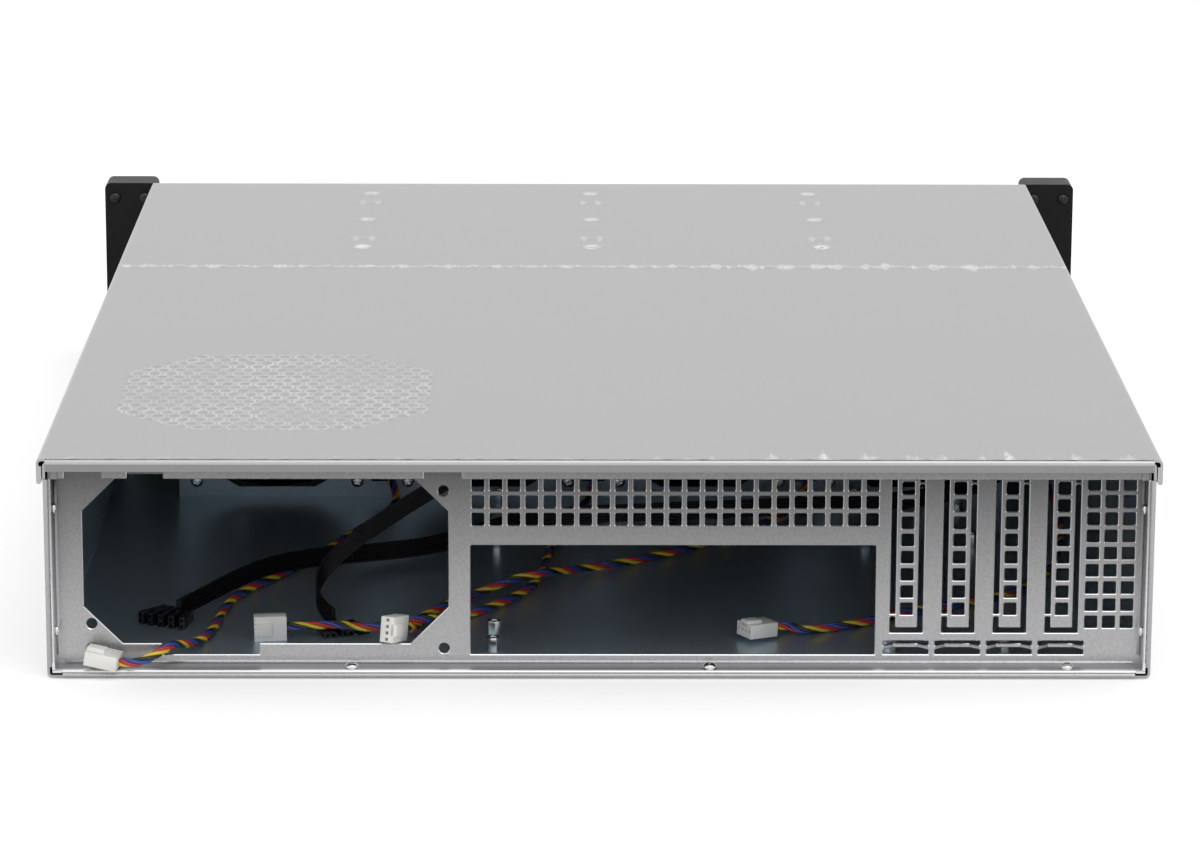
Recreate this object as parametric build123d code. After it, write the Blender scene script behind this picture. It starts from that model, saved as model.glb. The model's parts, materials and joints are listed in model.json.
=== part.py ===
from build123d import *
import os
from math import cos, radians, sin, sqrt, tan

# An empty rackmount server case, two rack units high, in millimetres.
# The front faces -Y, the rear +Y, and Z is up from the underside of the floor.
# "Across" runs to the right as seen from the rear, so it is -X.
# "Depth" runs forward from the rear edge of the case.

# Driving sizes of the case
sheet = 1.0
bend = 1.5
body_width = 431.2
body_height = 88.0
body_depth = 550.0
hem_depth = 14.0
film = 0.1

# Rack ears
ear_width = 25.7
rack_hole_inset = 8.75
rack_hole_pitch = 31.75
rack_hole_low = 5.95
rack_hole_count = 2
rack_slot_width = 6.8
rack_slot_length = 10.0
ear_depth = 18.0
ear_flange = 4.0
ear_corner = 3.0
ear_pocket_width = 15.0
ear_pocket_height = 11.0
lobe_width = 15.0
lobe_setback = 3.0
lobe_drop = 3.0

# Covers
seam_depth = 354.0
seam_gap = 0.4
cover_overhang = 2.55
cover_flange = 10.1
rear_lip = 4.7
seam_tongue = 10.0
cover_screw_rear = 58.0
cover_screw_seam_gap = 54.0
cover_screw_drop = 6.5
tongue_side_gap = 14.0
tongue_step = 2.5
tongue_start = 0.8

# Rear panel
panel_recess = 11.6
top_lip_drop = 7.9
top_lip_depth = 1.3
power_side_gap = 13.8
power_port_gap = 8.575
power_bottom = 10.7
power_top_drop = 8.7
power_corner = 15.0
power_notch_bottom = 6.2
power_notch_shares = (0.13665, 0.47383)
power_hole_insets = (2.9, 1.8)
power_hole_low = 8.77
power_hole_mate = 18.77
power_hole_drop = 15.23
power_hole = 4.2
lip_notches_left = ((-5.6, 8.7), (18.7, 32.7))
lip_notch_right = (-9.1, 5.6)
port_opening_width = 158.75
port_opening_wall_gap = 186.75
port_opening_bottom = 6.3
port_opening_top_drop = 37.25
square_pitch = 7.0
square_share = 5 / 7
middle_vent_gap = (3.025, 10.55)
middle_vent_count = (23, 3)
side_vent_gap = 22.6
side_vent_low = 19.7
side_vent_top_drop = 12.3
side_vent_count = (3, 9)

# Expansion slots
slot_count = 4
slot_pitch = 20.32
slot_wall_gap = 95.14
slot_width = 13.0
slot_bottom = 15.2
slot_top_drop = 6.5
slot_cut = 2.2
slot_bridge = 1.0
slot_left_bridge = 22.4
slot_right_bridge_drop = 5.5
slot_hole_start = 25.0
slot_hole_drop = 7.5
slot_hole_count = 8
foot_window_width = 17.9
foot_window_bottom = 6.4
foot_window_top = 12.0
foot_strip_height = 1.7
foot_strip_rise = 3.0

# Fan wall
wall_depth = 272.0
wall_margin = 3.5
wall_top_drop = 2.4
wall_flange = 24.0
fan_count = 4
fan_gap_share = 5 / 39
fan_clearance = 8.0
fan_thickness = 25.0
fan_lowering = 0.3
fan_hole_inset = 4.25
fan_rim = 1.8
fan_flange = 4.0
fan_wall_flat_share = 0.425
cable_slot_share = 5 / 7
cable_slot_bottom = 8.0
cable_slot_top = 26.0
hub_diameter = 34.0
shaft_diameter = 3.0
shaft_clearance = 0.08
blade_count = 7
blade_thickness = 1.6
blade_tip_gap = 2.6
blade_chord = 20.0
blade_angle = 38.0
rotor_setback = 1.5
wire_exit_inset = 9.0
wire_exit_play = 1.0
wire_exit_height = 16.0
wire_boss_width = 6.0
strut_count = 4
strut_width = 3.0
strut_thickness = 2.5

# Drive bays behind the front panel
bay_columns = 4
bay_rows = 2
bay_rear = 368.0
bay_row_pitch = 29.0
bay_first_row = 3.4
tray_height = 25.0
tray_wall = 1.5
tray_rear_gap = 22.0
tray_gap = 0.5
bezel_height = 27.6
bezel_thickness = 13.0
bezel_setback = 0.4
window_margin = 0.35
ledge_width = 3.0
ledge_gap = 0.3
divider_flange = 8.0
front_flange = 12.0
tray_side = 20.0
tray_rim = 14.0
bezel_windows = 2
lever_pin = 2.0
lever_width = 20.0
lever_thickness = 4.0
lever_end_gap = 20.3
lever_clearance = 0.3
lever_inset = 10.0
finger_gap = 4.0
divider_tab_shares = (0.26923, 0.73626)
divider_tab_spacing = 7.0
divider_tab_length = 2.6
board_thickness = 1.6
drive_socket = (30.0, 7.0, 6.0)
board_side_gap = 4.0
board_lift = 1.0
board_cut = (18.0, 5.0)
board_cut_lowering = 1.9
socket_lift = 8.0
grille_slot_share = 0.8545
grille_columns = 12
grille_rows = 2
grille_side_gap = 2.0
grille_first_share = 0.1953
grille_pitch_share = 0.2969
grille_height_share = 0.15625
cable_hole_width = 10.0
cable_hole_share = 0.664
cable_hole_middle_share = 0.5117
wall_flange_width = 10.0

# Main board supports
standoff_height = 6.0
standoff_across_flats = 5.0
standoff_bore = 2.5
board_wall_gap = 257.4
board_depth = 34.0
board_span = (157.48, 203.2)
board_rows = (154.94, 227.33)
board_extra_row = 22.86

# Fasteners
head_diameter = 5.6
head_height = 1.7
head_side_count = 6
round_side_count = 10
fan_side_count = 16
rivet_diameter = 4.4
rivet_height = 1.2
floor_screw_across = (-97.0, 43.3, 183.5)
flange_screw_depth = 6.3
side_rivet_low = 17.6
side_rivet_drop = 21.0
ear_screw_insets = (5.0, 19.5)
ear_screw_drop = 7.5

# Controls in the ears
power_button_diameter = 10.0
power_button_drop = 13.0
reset_button_diameter = 4.0
reset_button_drop = 24.0
button_travel = 1.2
button_clearance = 0.2
button_length = 6.0
socket_width = 5.8
socket_height = 13.2
socket_length = 12.0
socket_low = 16.0
socket_drop = 41.0

# Cables and their connectors
fan_cable = 3.4
connector_size = (13.0, 10.2, 5.8)
rib_width = 5.0
rib_height = 1.3
rib_length = 7.0
connector_pins = 4
pin_pitch = 2.54
pin_hole = 1.1
pin_depth = 3.0
ribbon_width = 8.0
ribbon_thickness = 2.0
header_size = (14.0, 5.2, 2.6)
header_gap = 0.3
header_spread = 8.0
arc_share = 0.45

# Routes of the cables, each point across, deep and high, from the fan's slot to the connector
fan_cable_routes = (
    [(-91, 268, 13), (-86, 252, 4.5), (-93, 230, 3.2), (-104, 203, 3.2), (-118.5, 164, 3.2),
     (-134.5, 133.5, 3.2), (-148, 108.5, 3.2), (-153, 83, 3.2), (-153.8, 61, 3.2), (-158.5, 39, 3.5),
     (-164.5, 24, 6.5), (-168, 12.5, 10), (-173, 5.5, 8.2), (-181.7, 0.7, 5.3), (-187.5, 1.7, 6.3)],
    [(0.5, 268, 12.5), (-3, 250, 4.2), (-10, 228, 3.2), (-16, 204, 3.2), (-19, 179, 3.2),
     (-21.5, 156, 3.2), (-24, 135, 3.2), (-27.5, 118, 3.2), (-33, 105.5, 3.2), (-40, 95, 3.2),
     (-46, 85, 3.2), (-53.5, 78, 3.2), (-62, 66.5, 4.4), (-69.5, 56.5, 7.8), (-78, 51.5, 8),
     (-86.5, 48, 6.9), (-95.5, 47.5, 6.6), (-104.5, 53, 6.5), (-115, 51.2, 6.3), (-124.9, 50.2, 6.2)],
    [(95.5, 268, 12.5), (91, 250, 4.2), (82, 231, 3.2), (68, 211, 3.2), (52, 193, 3.2),
     (36.5, 176, 3.2), (22, 163.5, 3.2), (8, 153.5, 3.2), (-4, 146.5, 3.4), (-14, 135, 5.6),
     (-24.5, 122, 8), (-35, 117, 7), (-45, 111.5, 4.2), (-53, 104, 3.2), (-62, 91, 3.2),
     (-69.5, 80, 3.2), (-73, 66, 3.2), (-73.7, 51.5, 3.2), (-73.6, 39, 7.5), (-74.1, 28.5, 13.3),
     (-77.8, 20.5, 14.9)],
    [(200, 268, 12), (204, 248, 4.2), (203, 225, 3.2), (201, 198, 3.2), (197, 170, 3.2),
     (191, 145, 3.2), (182, 123, 3.2), (171, 109, 3.2), (157, 98, 3.2), (141, 90, 3.2),
     (125.5, 81.5, 3.2), (112.5, 71.5, 3.2), (102.5, 63.5, 3.2), (92.5, 60, 3.2), (82, 54, 3.4),
     (75.2, 57.9, 5), (69.3, 54.2, 5.3)],
)

# How each fan connector is turned about its cable's end
connector_rolls = (0, -90, -90, 0)

# Front ends of the two ribbons, each point across, share of the front section's depth, and high
ear_ribbon_front = (
    (203.5, 1.0, 74.5), (203.5, 0.7449, 74.5), (202.5, 0.4898, 75.5), (203.5, 0.2449, 74), (203, 0.051, 71),
)
port_ribbon_front = (
    (208.5, 1.0, 74.5), (208.5, 0.7551, 74.5), (207.5, 0.5, 75.5), (208.5, 0.2449, 74), (208, 0.0612, 72.5),
)

# The rest of their routes, each point across, deep and high
ear_ribbon_rear = [
    (202, 332, 62), (200, 303, 47), (197, 275, 34), (187, 252, 22), (163, 236, 13),
    (125, 228, 10), (80, 222, 9.8), (35, 215, 9.8), (-5, 209, 9.8), (-34, 202, 8.8),
    (-52, 188, 6.8), (-69, 174, 5.6), (-92, 162, 6), (-112, 149, 8), (-128, 134.5, 9.8),
    (-141, 120.5, 9.9), (-153, 105, 8.2), (-164, 92, 5.2), (-170.5, 79, 5.2),
]
port_ribbon_rear = [
    (207, 335, 67), (204, 300, 59), (198, 270, 57), (181, 249, 59), (150, 232, 62),
    (105, 214, 66), (55, 195, 68), (8, 175, 66), (-32, 155, 58), (-60, 134, 46),
    (-82, 119, 36), (-98, 108, 27.5), (-108.5, 102, 20), (-114, 96, 13.5), (-114.5, 86, 8.5),
    (-111, 76, 5.2), (-106.5, 66.5, 5.2),
]

# Places worked out from the sizes above
half_width = body_width / 2
inner_half = half_width - sheet
rear_y = (body_depth + ear_depth) / 2
cover_half = half_width + cover_overhang
cover_under = body_height - sheet
panel_flange_half = inner_half - sheet
panel_front = panel_recess + sheet
rack_span = body_width + 2 * ear_width
rack_hole_span = rack_span - 2 * rack_hole_inset
cover_screw_depths = (cover_screw_rear, seam_depth - cover_screw_seam_gap)
cover_screw_height = body_height - cover_screw_drop
top_lip_bottom = body_height - top_lip_drop
port_across = half_width - port_opening_wall_gap
port_left = port_across - port_opening_width / 2
port_top = body_height - port_opening_top_drop
power_left = -half_width + power_side_gap
power_right = port_left - power_port_gap
power_top = body_height - power_top_drop
slot_top = body_height - slot_top_drop
slot_places = [half_width - slot_wall_gap + i * slot_pitch for i in range(slot_count)]
fan_size = body_height - fan_clearance
fan_height = body_height / 2 - fan_lowering
fan_bore = fan_size - 2 * fan_rim
fan_hole_span = fan_size - 2 * fan_hole_inset
fan_gap = fan_gap_share * (2 * inner_half - fan_count * fan_size)
fan_pitch = fan_size + fan_gap
fans_across = [(i - (fan_count - 1) / 2) * fan_pitch for i in range(fan_count)]
wall_half_width = fans_across[-1] + fan_size / 2 + wall_margin
wall_top = body_height - wall_top_drop
bay_pitch = 2 * inner_half / bay_columns
bay_depth = body_depth - bay_rear
tray_length = bay_depth - tray_rear_gap
divider_tab_depths = [body_depth - share * bay_depth for share in divider_tab_shares]
divider_across = [(i - bay_columns / 2) * bay_pitch for i in range(1, bay_columns)]
bay_top = bay_first_row + bay_rows * bay_row_pitch
tray_width = bay_pitch - 2 * sheet - 2 * tray_gap
lever_length = tray_width - lever_end_gap
backplane_depth = bay_rear - board_thickness
grille_zone = cover_under - bay_top
side_rivet_heights = (side_rivet_low, body_height - side_rivet_drop)
ear_screw_places = [rack_span / 2 - inset for inset in ear_screw_insets]
ear_screw_height = body_height - ear_screw_drop
socket_bottoms = (socket_low, body_height - socket_drop)
button_across = (half_width + rack_span / 2) / 2
front_length = body_depth - seam_depth
ear_ribbon_route = [(x, seam_depth + share * front_length, z) for x, share, z in ear_ribbon_front]
ear_ribbon_route += ear_ribbon_rear
port_ribbon_route = [(x, seam_depth + share * front_length, z) for x, share, z in port_ribbon_front]
port_ribbon_route += port_ribbon_rear


def y_at(depth):
    """The Y of a place this deep from the rear edge."""
    return rear_y - depth


def block(across, depths, heights):
    """A box between two places across, two depths and two heights."""
    x0, x1 = sorted((-across[0], -across[1]))
    y0, y1 = sorted((y_at(depths[0]), y_at(depths[1])))
    z0, z1 = sorted(heights)
    return Pos((x0 + x1) / 2, (y0 + y1) / 2, (z0 + z1) / 2) * Box(x1 - x0, y1 - y0, z1 - z0)


def rear_view(depth):
    """A plane seen from the rear, with across to its right and height up."""
    return Plane(origin=(0, y_at(depth), 0), x_dir=(-1, 0, 0), z_dir=(0, 1, 0))


def top_view(height):
    """A plane seen from above, with across along its x and depth along its y."""
    return Plane(origin=(0, rear_y, height), x_dir=(-1, 0, 0), z_dir=(0, 0, 1))


def side_view(across):
    """A plane seen from the side, with depth along its x and height up."""
    return Plane(origin=(-across, rear_y, 0), x_dir=(0, -1, 0), z_dir=(-1, 0, 0))


def folded(plane, points, length, radius=bend):
    """Sheet that follows a centre line with rounded bends, for a length along the plane's normal."""
    with BuildSketch(plane) as section:
        with BuildLine():
            FilletPolyline(*points, radius=radius)
        trace(line_width=sheet)
    return extrude(section.sketch, length)


def box_wire(across, up, width, height):
    """A closed rectangle about a place, for a hole in a flat sheet."""
    x, y = width / 2, height / 2
    corners = [(across - x, up - y), (across + x, up - y), (across + x, up + y), (across - x, up + y)]
    return Wire.make_polygon([Vector(*corner) for corner in corners], close=True)


def outline(points):
    """A closed polygon through the given places."""
    return Wire.make_polygon([Vector(*point) for point in points], close=True)


def square_grid(start, count, row_pitch=square_pitch):
    """Square holes in columns and rows from a first centre."""
    places = [(start[0] + i * square_pitch, start[1] + j * row_pitch)
              for i in range(count[0]) for j in range(count[1])]
    return [box_wire(x, y, square_pitch * square_share, row_pitch * square_share) for x, y in places]


def pierced(plane, edge, holes, thickness=sheet):
    """A flat plate with its holes, standing on a plane."""
    return extrude(plane * Face(edge, holes), thickness)


def hemmed_edge(section_plane, length, centre):
    """The round end of a closed hem, two sheets thick, along the normal of its plane."""
    return extrude(section_plane * Pos(*centre) * Circle(sheet), length)


def button_head(diameter, height):
    """A low head with a flat face, standing on the XY plane."""
    foot = RegularPolygon(diameter / 2, head_side_count)
    return extrude(foot, height, taper=25)


def round_bar(diameter, length, flats=round_side_count):
    """A round bar with a few flats, its flats as far apart as the diameter."""
    return extrude(RegularPolygon(diameter / 2, flats, major_radius=False), length)


def on_rear(across, depth, height, shape):
    """Stands a shape on a face that looks to the rear."""
    return rear_view(depth).location * Pos(across, height, 0) * shape


# Chassis tray: floor and side walls are one folded sheet with hemmed rear edges.
def chassis_tray():
    inward = inner_half - wall_flange_width
    middle = half_width - sheet / 2
    level = cover_under - sheet / 2
    half = [(inward, level), (middle, level), (middle, sheet / 2)]
    points = half + [(-x, z) for x, z in reversed(half)]
    tray = folded(rear_view(body_depth - sheet), points, body_depth - 2 * sheet)
    # The wall flanges stop short of the rear panel's top flange.
    for side in (-1, 1):
        across = (side * (inward - 1), side * inner_half)
        tray -= block(across, (-1, panel_front + 2), (cover_under - 2 * sheet, cover_under))
        hem = (side * inner_half, side * panel_flange_half)
        tray += block(hem, (sheet, hem_depth), (bend + 3, top_lip_bottom))
        edge = Plane(origin=(0, 0, bend + 3))
        tray += hemmed_edge(edge, top_lip_bottom - bend - 3, (-side * inner_half, y_at(sheet)))
    floor_half = inner_half - 5
    tray += block((-floor_half, floor_half), (sheet, hem_depth), (sheet, 2 * sheet))
    edge = Plane(origin=(-floor_half, 0, 0), x_dir=(0, 1, 0), z_dir=(1, 0, 0))
    tray += hemmed_edge(edge, 2 * floor_half, (y_at(sheet), sheet))
    return tray


# Rear panel: one sheet with flanges bent to the rear on all four sides.
def rear_panel():
    flange = 2.5 * sheet
    top = cover_under - sheet / 2
    middle = panel_recess + sheet / 2
    lip = top_lip_depth + sheet / 2
    wall = panel_flange_half - sheet / 2
    low, high, half = flange + bend, top - bend, wall - bend
    overlap = sheet / 2
    edge = box_wire(0, (low + high) / 2, 2 * half, high - low)
    panel = pierced(rear_view(panel_front), edge, rear_panel_cuts())
    foot = [(sheet / 2, flange), (middle, flange), (middle, low + overlap)]
    head = [(middle, high - overlap), (middle, top), (lip, top), (lip, top_lip_bottom)]
    length = 2 * (half - bend)
    panel += folded(side_view(-length / 2), foot, length)
    panel += folded(side_view(-length / 2), head, length)
    for side in (-1, 1):
        run = [(side * wall, sheet / 2), (side * wall, middle), (side * (half - overlap), middle)]
        panel += folded(top_view(low + 2), run, top_lip_bottom - low - 2)
    lip_notches = [(power_left + a, power_left + b) for a, b in lip_notches_left]
    lip_notches.append((power_right + lip_notch_right[0], power_right + lip_notch_right[1]))
    for left, right in lip_notches:
        panel -= block((left, right), (0, lip + sheet), (top_lip_bottom - 1, top - bend))
    for across in slot_places:
        panel += foot_strip(across)
    return panel


def rear_panel_cuts():
    left, right, bottom, top = power_left, power_right, power_bottom, power_top
    c = power_corner
    run = right - left - 2 * c
    notch_left, notch_right = [left + c + share * run for share in power_notch_shares]
    power = outline([
        (left, bottom + c), (left + c, bottom), (notch_left, bottom), (notch_left, power_notch_bottom),
        (notch_right, power_notch_bottom), (notch_right, bottom), (right - c, bottom), (right, bottom + c),
        (right, top - c), (right - c, top), (left + c, top), (left, top - c),
    ])
    port_middle = (port_opening_bottom + port_top) / 2
    cuts = [power, box_wire(port_across, port_middle, port_opening_width, port_top - port_opening_bottom)]
    cuts += square_grid((port_left + middle_vent_gap[0], port_top + middle_vent_gap[1]), middle_vent_count)
    side_pitch = (body_height - side_vent_top_drop - side_vent_low) / (side_vent_count[1] - 1)
    cuts += square_grid((half_width - side_vent_gap, side_vent_low), side_vent_count, side_pitch)
    holes_across = (left + power_hole_insets[0], right - power_hole_insets[1])
    holes_left = (power_hole_low, power_hole_mate)
    holes_right = (power_hole_low, body_height - power_hole_drop)
    for across, heights in zip(holes_across, (holes_left, holes_right)):
        cuts += [Wire.make_circle(power_hole / 2, Plane(origin=(across, z, 0))) for z in heights]
    window_middle = (foot_window_bottom + foot_window_top) / 2
    window_height = foot_window_top - foot_window_bottom
    slot_hole_pitch = (slot_top - slot_hole_drop - slot_hole_start) / (slot_hole_count - 1)
    for across in slot_places:
        cuts += slot_cuts(across)
        cuts += square_grid((across, slot_hole_start), (1, slot_hole_count), slot_hole_pitch)
        cuts.append(box_wire(across, window_middle, foot_window_width, window_height))
    return cuts


def slot_cuts(across):
    """The two cuts round a knock-out strip, parted by a bridge on each side."""
    left, right = across - slot_width / 2, across + slot_width / 2
    low, high = slot_left_bridge, slot_top - slot_right_bridge_drop
    b, c = slot_bridge / 2, slot_cut
    lower = outline([
        (left, low - b), (left, slot_bottom), (right, slot_bottom), (right, high - b),
        (right - c, high - b), (right - c, slot_bottom + c), (left + c, slot_bottom + c), (left + c, low - b),
    ])
    upper = outline([
        (right, high + b), (right, slot_top), (left, slot_top), (left, low + b),
        (left + c, low + b), (left + c, slot_top - c), (right - c, slot_top - c), (right - c, high + b),
    ])
    return [lower, upper]


def foot_strip(across):
    """The lanced strip that holds a card's foot, pushed in behind its window."""
    middle = (foot_window_bottom + foot_window_top) / 2
    half = foot_window_width / 2
    plane_depth = panel_recess + sheet / 2
    pushed = plane_depth + foot_strip_rise
    run = [
        (across - half - 1, plane_depth), (across - half, plane_depth), (across - half + 4, pushed),
        (across + half - 4, pushed), (across + half, plane_depth), (across + half + 1, plane_depth),
    ]
    with BuildSketch(top_view(middle - foot_strip_height / 2)) as section:
        with BuildLine():
            Polyline(*run)
        trace(line_width=sheet)
    return extrude(section.sketch, foot_strip_height)


# Covers: sheet with hemmed side flanges that hang outside the walls.
def cover_section(near, far):
    outer = cover_half - sheet / 2
    low = body_height - cover_flange + sheet
    level = body_height - sheet / 2
    points = [(outer, low), (outer, level), (-outer, level), (-outer, low)]
    cover = folded(rear_view(far), points, far - near)
    for side in (-1, 1):
        inner = side * (cover_half - sheet)
        cover += block((inner, inner - side * sheet), (near, far), (low, cover_under - 2))
        plane = Plane(origin=(0, y_at(far), 0), x_dir=(-1, 0, 0), z_dir=(0, 1, 0))
        cover += hemmed_edge(plane, far - near, (inner, low))
    return cover


def top_cover():
    front = seam_depth - seam_gap / 2
    cover = cover_section(2 * sheet, front)
    # The rear lip is bent down from the top and stops short of the side flanges.
    half = half_width - sheet
    profile = [(2 * sheet, body_height - sheet / 2), (sheet / 2, body_height - sheet / 2),
               (sheet / 2, body_height - rear_lip)]
    cover += folded(side_view(-half), profile, 2 * half, radius=sheet)
    for side in (-1, 1):
        for depth in cover_screw_depths:
            across = (side * (half_width + 0.2), side * (cover_half + 1))
            notch = (depth - head_diameter / 3, depth + head_diameter / 3)
            cover -= block(across, notch, (0, cover_screw_height + head_diameter / 3))
    return cover


def front_top_panel():
    near = seam_depth + seam_gap / 2
    panel = cover_section(near, body_depth)
    # A joggled tongue carries the front edge of the cover.
    half = inner_half - tongue_side_gap
    level = body_height - sheet / 2
    step = near + tongue_step
    run = [(step + sheet, level), (step, level), (near + tongue_start, level - sheet),
           (near - seam_tongue, level - sheet)]
    with BuildSketch(side_view(-half)) as section:
        with BuildLine():
            Polyline(*run)
        trace(line_width=sheet)
    free = half + seam_gap
    panel -= block((-free, free), (near - 1, step), (cover_under - 1, body_height + 1))
    panel += extrude(section.sketch, 2 * half)
    for across in divider_across:
        for tab in divider_tabs(across, 0.15):
            panel -= tab
    return panel


def divider_tabs(across, gap=0.0):
    """Pairs of tabs on top of a divider, flush with the outside of the front section."""
    tabs = []
    for depth in divider_tab_depths:
        for side in (-1, 1):
            middle = depth
            x = across + side * divider_tab_spacing / 2
            half = divider_tab_length / 2 + gap
            thick = sheet / 2 + gap
            tabs.append(block((x - half, x + half), (middle - thick, middle + thick),
                              (cover_under - gap, body_height + gap)))
    return tabs


def protective_film(near, far, inset):
    half = cover_half - inset
    return block((-half, half), (near + inset, far - inset), (body_height, body_height + film))


# Front panel: a folded frame with a window for each tray and a row of air slots.
def front_panel():
    half = inner_half - sheet
    holes = []
    width = tray_width + 2 * window_margin
    for column, row in bays():
        middle = bay_first_row + row * bay_row_pitch + tray_height / 2
        holes.append(box_wire(bay_across(column), middle, width, tray_height + 2 * window_margin))
    pitch = 2 * (half - lobe_width - grille_side_gap) / grille_columns
    for i in range(grille_columns):
        for j in range(grille_rows):
            x = (i - (grille_columns - 1) / 2) * pitch
            y = bay_top + (grille_first_share + j * grille_pitch_share) * grille_zone
            holes.append(box_wire(x, y, pitch * grille_slot_share, grille_height_share * grille_zone))
    hole_middle = bay_top + cable_hole_middle_share * grille_zone
    holes.append(box_wire(half - lobe_width / 2, hole_middle, cable_hole_width, cable_hole_share * grille_zone))
    edge = box_wire(0, (sheet + cover_under) / 2, 2 * inner_half, cover_under - sheet)
    panel = pierced(rear_view(body_depth), edge, holes)
    flange_half = inner_half - wall_flange_width - 1
    depths = (body_depth - front_flange, body_depth - sheet)
    return panel + block((-flange_half, flange_half), depths, (cover_under - sheet, cover_under))


def bays():
    return [(column, row) for row in range(bay_rows) for column in range(bay_columns)]


def bay_across(column):
    return (column - (bay_columns - 1) / 2) * bay_pitch


# Bay dividers: sheets with ledges that carry the trays on both sides.
def bay_wall(across, ledge_sides, low=sheet, high=cover_under - sheet):
    """An upright sheet that stops under the front panel's top flange, with a ledge below each tray."""
    near, far = bay_rear, body_depth - sheet - 0.2
    across_span = (across - sheet / 2, across + sheet / 2)
    wall = block(across_span, (near, far), (low, bay_top + 1))
    wall += block(across_span, (near, far - front_flange), (bay_top, high))
    for side in ledge_sides:
        for row in range(bay_rows):
            top = bay_first_row + row * bay_row_pitch - ledge_gap
            reach = (across + side * sheet / 2, across + side * (sheet / 2 + ledge_width))
            wall += block(reach, (near, far), (top - sheet, top))
    return wall


def bay_divider(across):
    wall = bay_wall(across, (-1, 1))
    top = (across - divider_flange, across + divider_flange)
    wall += block(top, (bay_rear, body_depth - front_flange - 2 * sheet), (cover_under - sheet, cover_under))
    for tab in divider_tabs(across):
        wall += tab
    return wall


def bay_side(side):
    across = side * (inner_half - sheet / 2)
    return bay_wall(across, (-side,), sheet + bend, cover_under - sheet - bend)


# Drive trays: a shallow open box with a bezel, and a lever on a pin at its front.
def lever_place(column, row):
    """The lever pin's place across, its depth and the middle of its height."""
    across = bay_across(column) + tray_width / 2 - lever_inset
    depth = body_depth + bezel_setback + bezel_thickness - lever_thickness
    return across, depth, bay_first_row + row * bay_row_pitch + tray_height / 2


def drive_tray(column, row):
    middle = bay_across(column)
    bottom = bay_first_row + row * bay_row_pitch
    half = tray_width / 2
    front = body_depth + bezel_setback
    back = front - tray_length
    tray = block((middle - half, middle + half), (back, front), (bottom, bottom + tray_wall))
    for side in (-1, 1):
        wall = (middle + side * half, middle + side * (half - tray_wall))
        tray += block(wall, (back, front), (bottom, bottom + tray_side))
    opening = (middle - half + tray_rim, middle + half - tray_rim)
    tray -= block(opening, (back + tray_rim, front - tray_rim), (0, body_height))
    return tray + tray_bezel(column, row)


def tray_bezel(column, row):
    """The tray's front, hollowed for the lever and pierced for air behind it."""
    middle = bay_across(column)
    across, depth, height = lever_place(column, row)
    half = bay_pitch / 2 - tray_gap
    front = body_depth + bezel_setback
    face = front + bezel_thickness
    bezel = block((middle - half, middle + half), (front, face), (height - bezel_height / 2, height + bezel_height / 2))
    free = lever_width / 2 + lever_clearance
    far_end = across - lever_length - finger_gap
    bezel -= block((far_end, across + lever_thickness), (depth - lever_thickness, face + 1),
                   (height - free, height + free))
    pitch = (2 * half - 2 * tray_rim) / bezel_windows
    for i in range(bezel_windows):
        start = middle - half + tray_rim + i * pitch
        bezel -= block((start, start + pitch - tray_wall * 2), (front - 1, face), (height - 6, height + 6))
    pin = Pos(-across, y_at(depth), height - free) * round_bar(lever_pin, 2 * free)
    return bezel + pin


def tray_lever(column, row):
    """A flat lever with a window and a knuckle round the pin."""
    across, depth, height = lever_place(column, row)
    half = lever_width / 2
    end = across - lever_length
    at_pin = Pos(-across, y_at(depth), height - half)
    knuckle = at_pin * round_bar(lever_thickness, lever_width)
    arm = block((across, end), (depth - lever_thickness / 2, depth + lever_thickness / 2), (height - half, height + half))
    window = (across - lever_width / 2, end + lever_width / 2)
    arm -= block(window, (depth - lever_thickness, depth + lever_thickness), (height - half / 2, height + half / 2))
    return knuckle + arm - at_pin * round_bar(lever_pin + 2 * shaft_clearance, lever_width)


# Backplane behind the trays, with a drive socket for each.
def backplane_board():
    half = inner_half - board_side_gap
    level = (sheet + board_lift, bay_top + 2 * board_lift)
    board = block((-half, half), (backplane_depth, backplane_depth + board_thickness), level)
    wide, tall = board_cut
    middle = bay_first_row + bay_row_pitch - board_cut_lowering
    for across in [bay_across(i) for i in range(bay_columns)]:
        sides = (across - wide / 2, across + wide / 2)
        board -= block(sides, (0, body_depth), (middle - tall / 2, middle + tall / 2))
    return board


def backplane_sockets():
    wide, long, tall = drive_socket
    near = backplane_depth + board_thickness
    sockets = []
    for column, row in bays():
        middle = bay_across(column)
        bottom = bay_first_row + row * bay_row_pitch + socket_lift
        sockets.append(block((middle - wide / 2, middle + wide / 2), (near, near + long), (bottom, bottom + tall)))
    return sockets


# Fan wall: a plate with an opening for each fan and slots for their cables.
def fan_opening(across):
    """A twelve-sided opening that leaves room for the screws in the corners."""
    half = fan_bore / 2
    flat = fan_size * fan_wall_flat_share / 2
    corner = flat + (half - flat) / (cos(radians(30)) + cos(radians(60))) * cos(radians(30))
    quarter = [(flat, -half), (corner, -corner), (half, -flat)]
    points = []
    for turn in range(4):
        c, s = cos(radians(90 * turn)), sin(radians(90 * turn))
        points += [(across + x * c - y * s, fan_height + x * s + y * c) for x, y in quarter]
    return outline(points)


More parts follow.
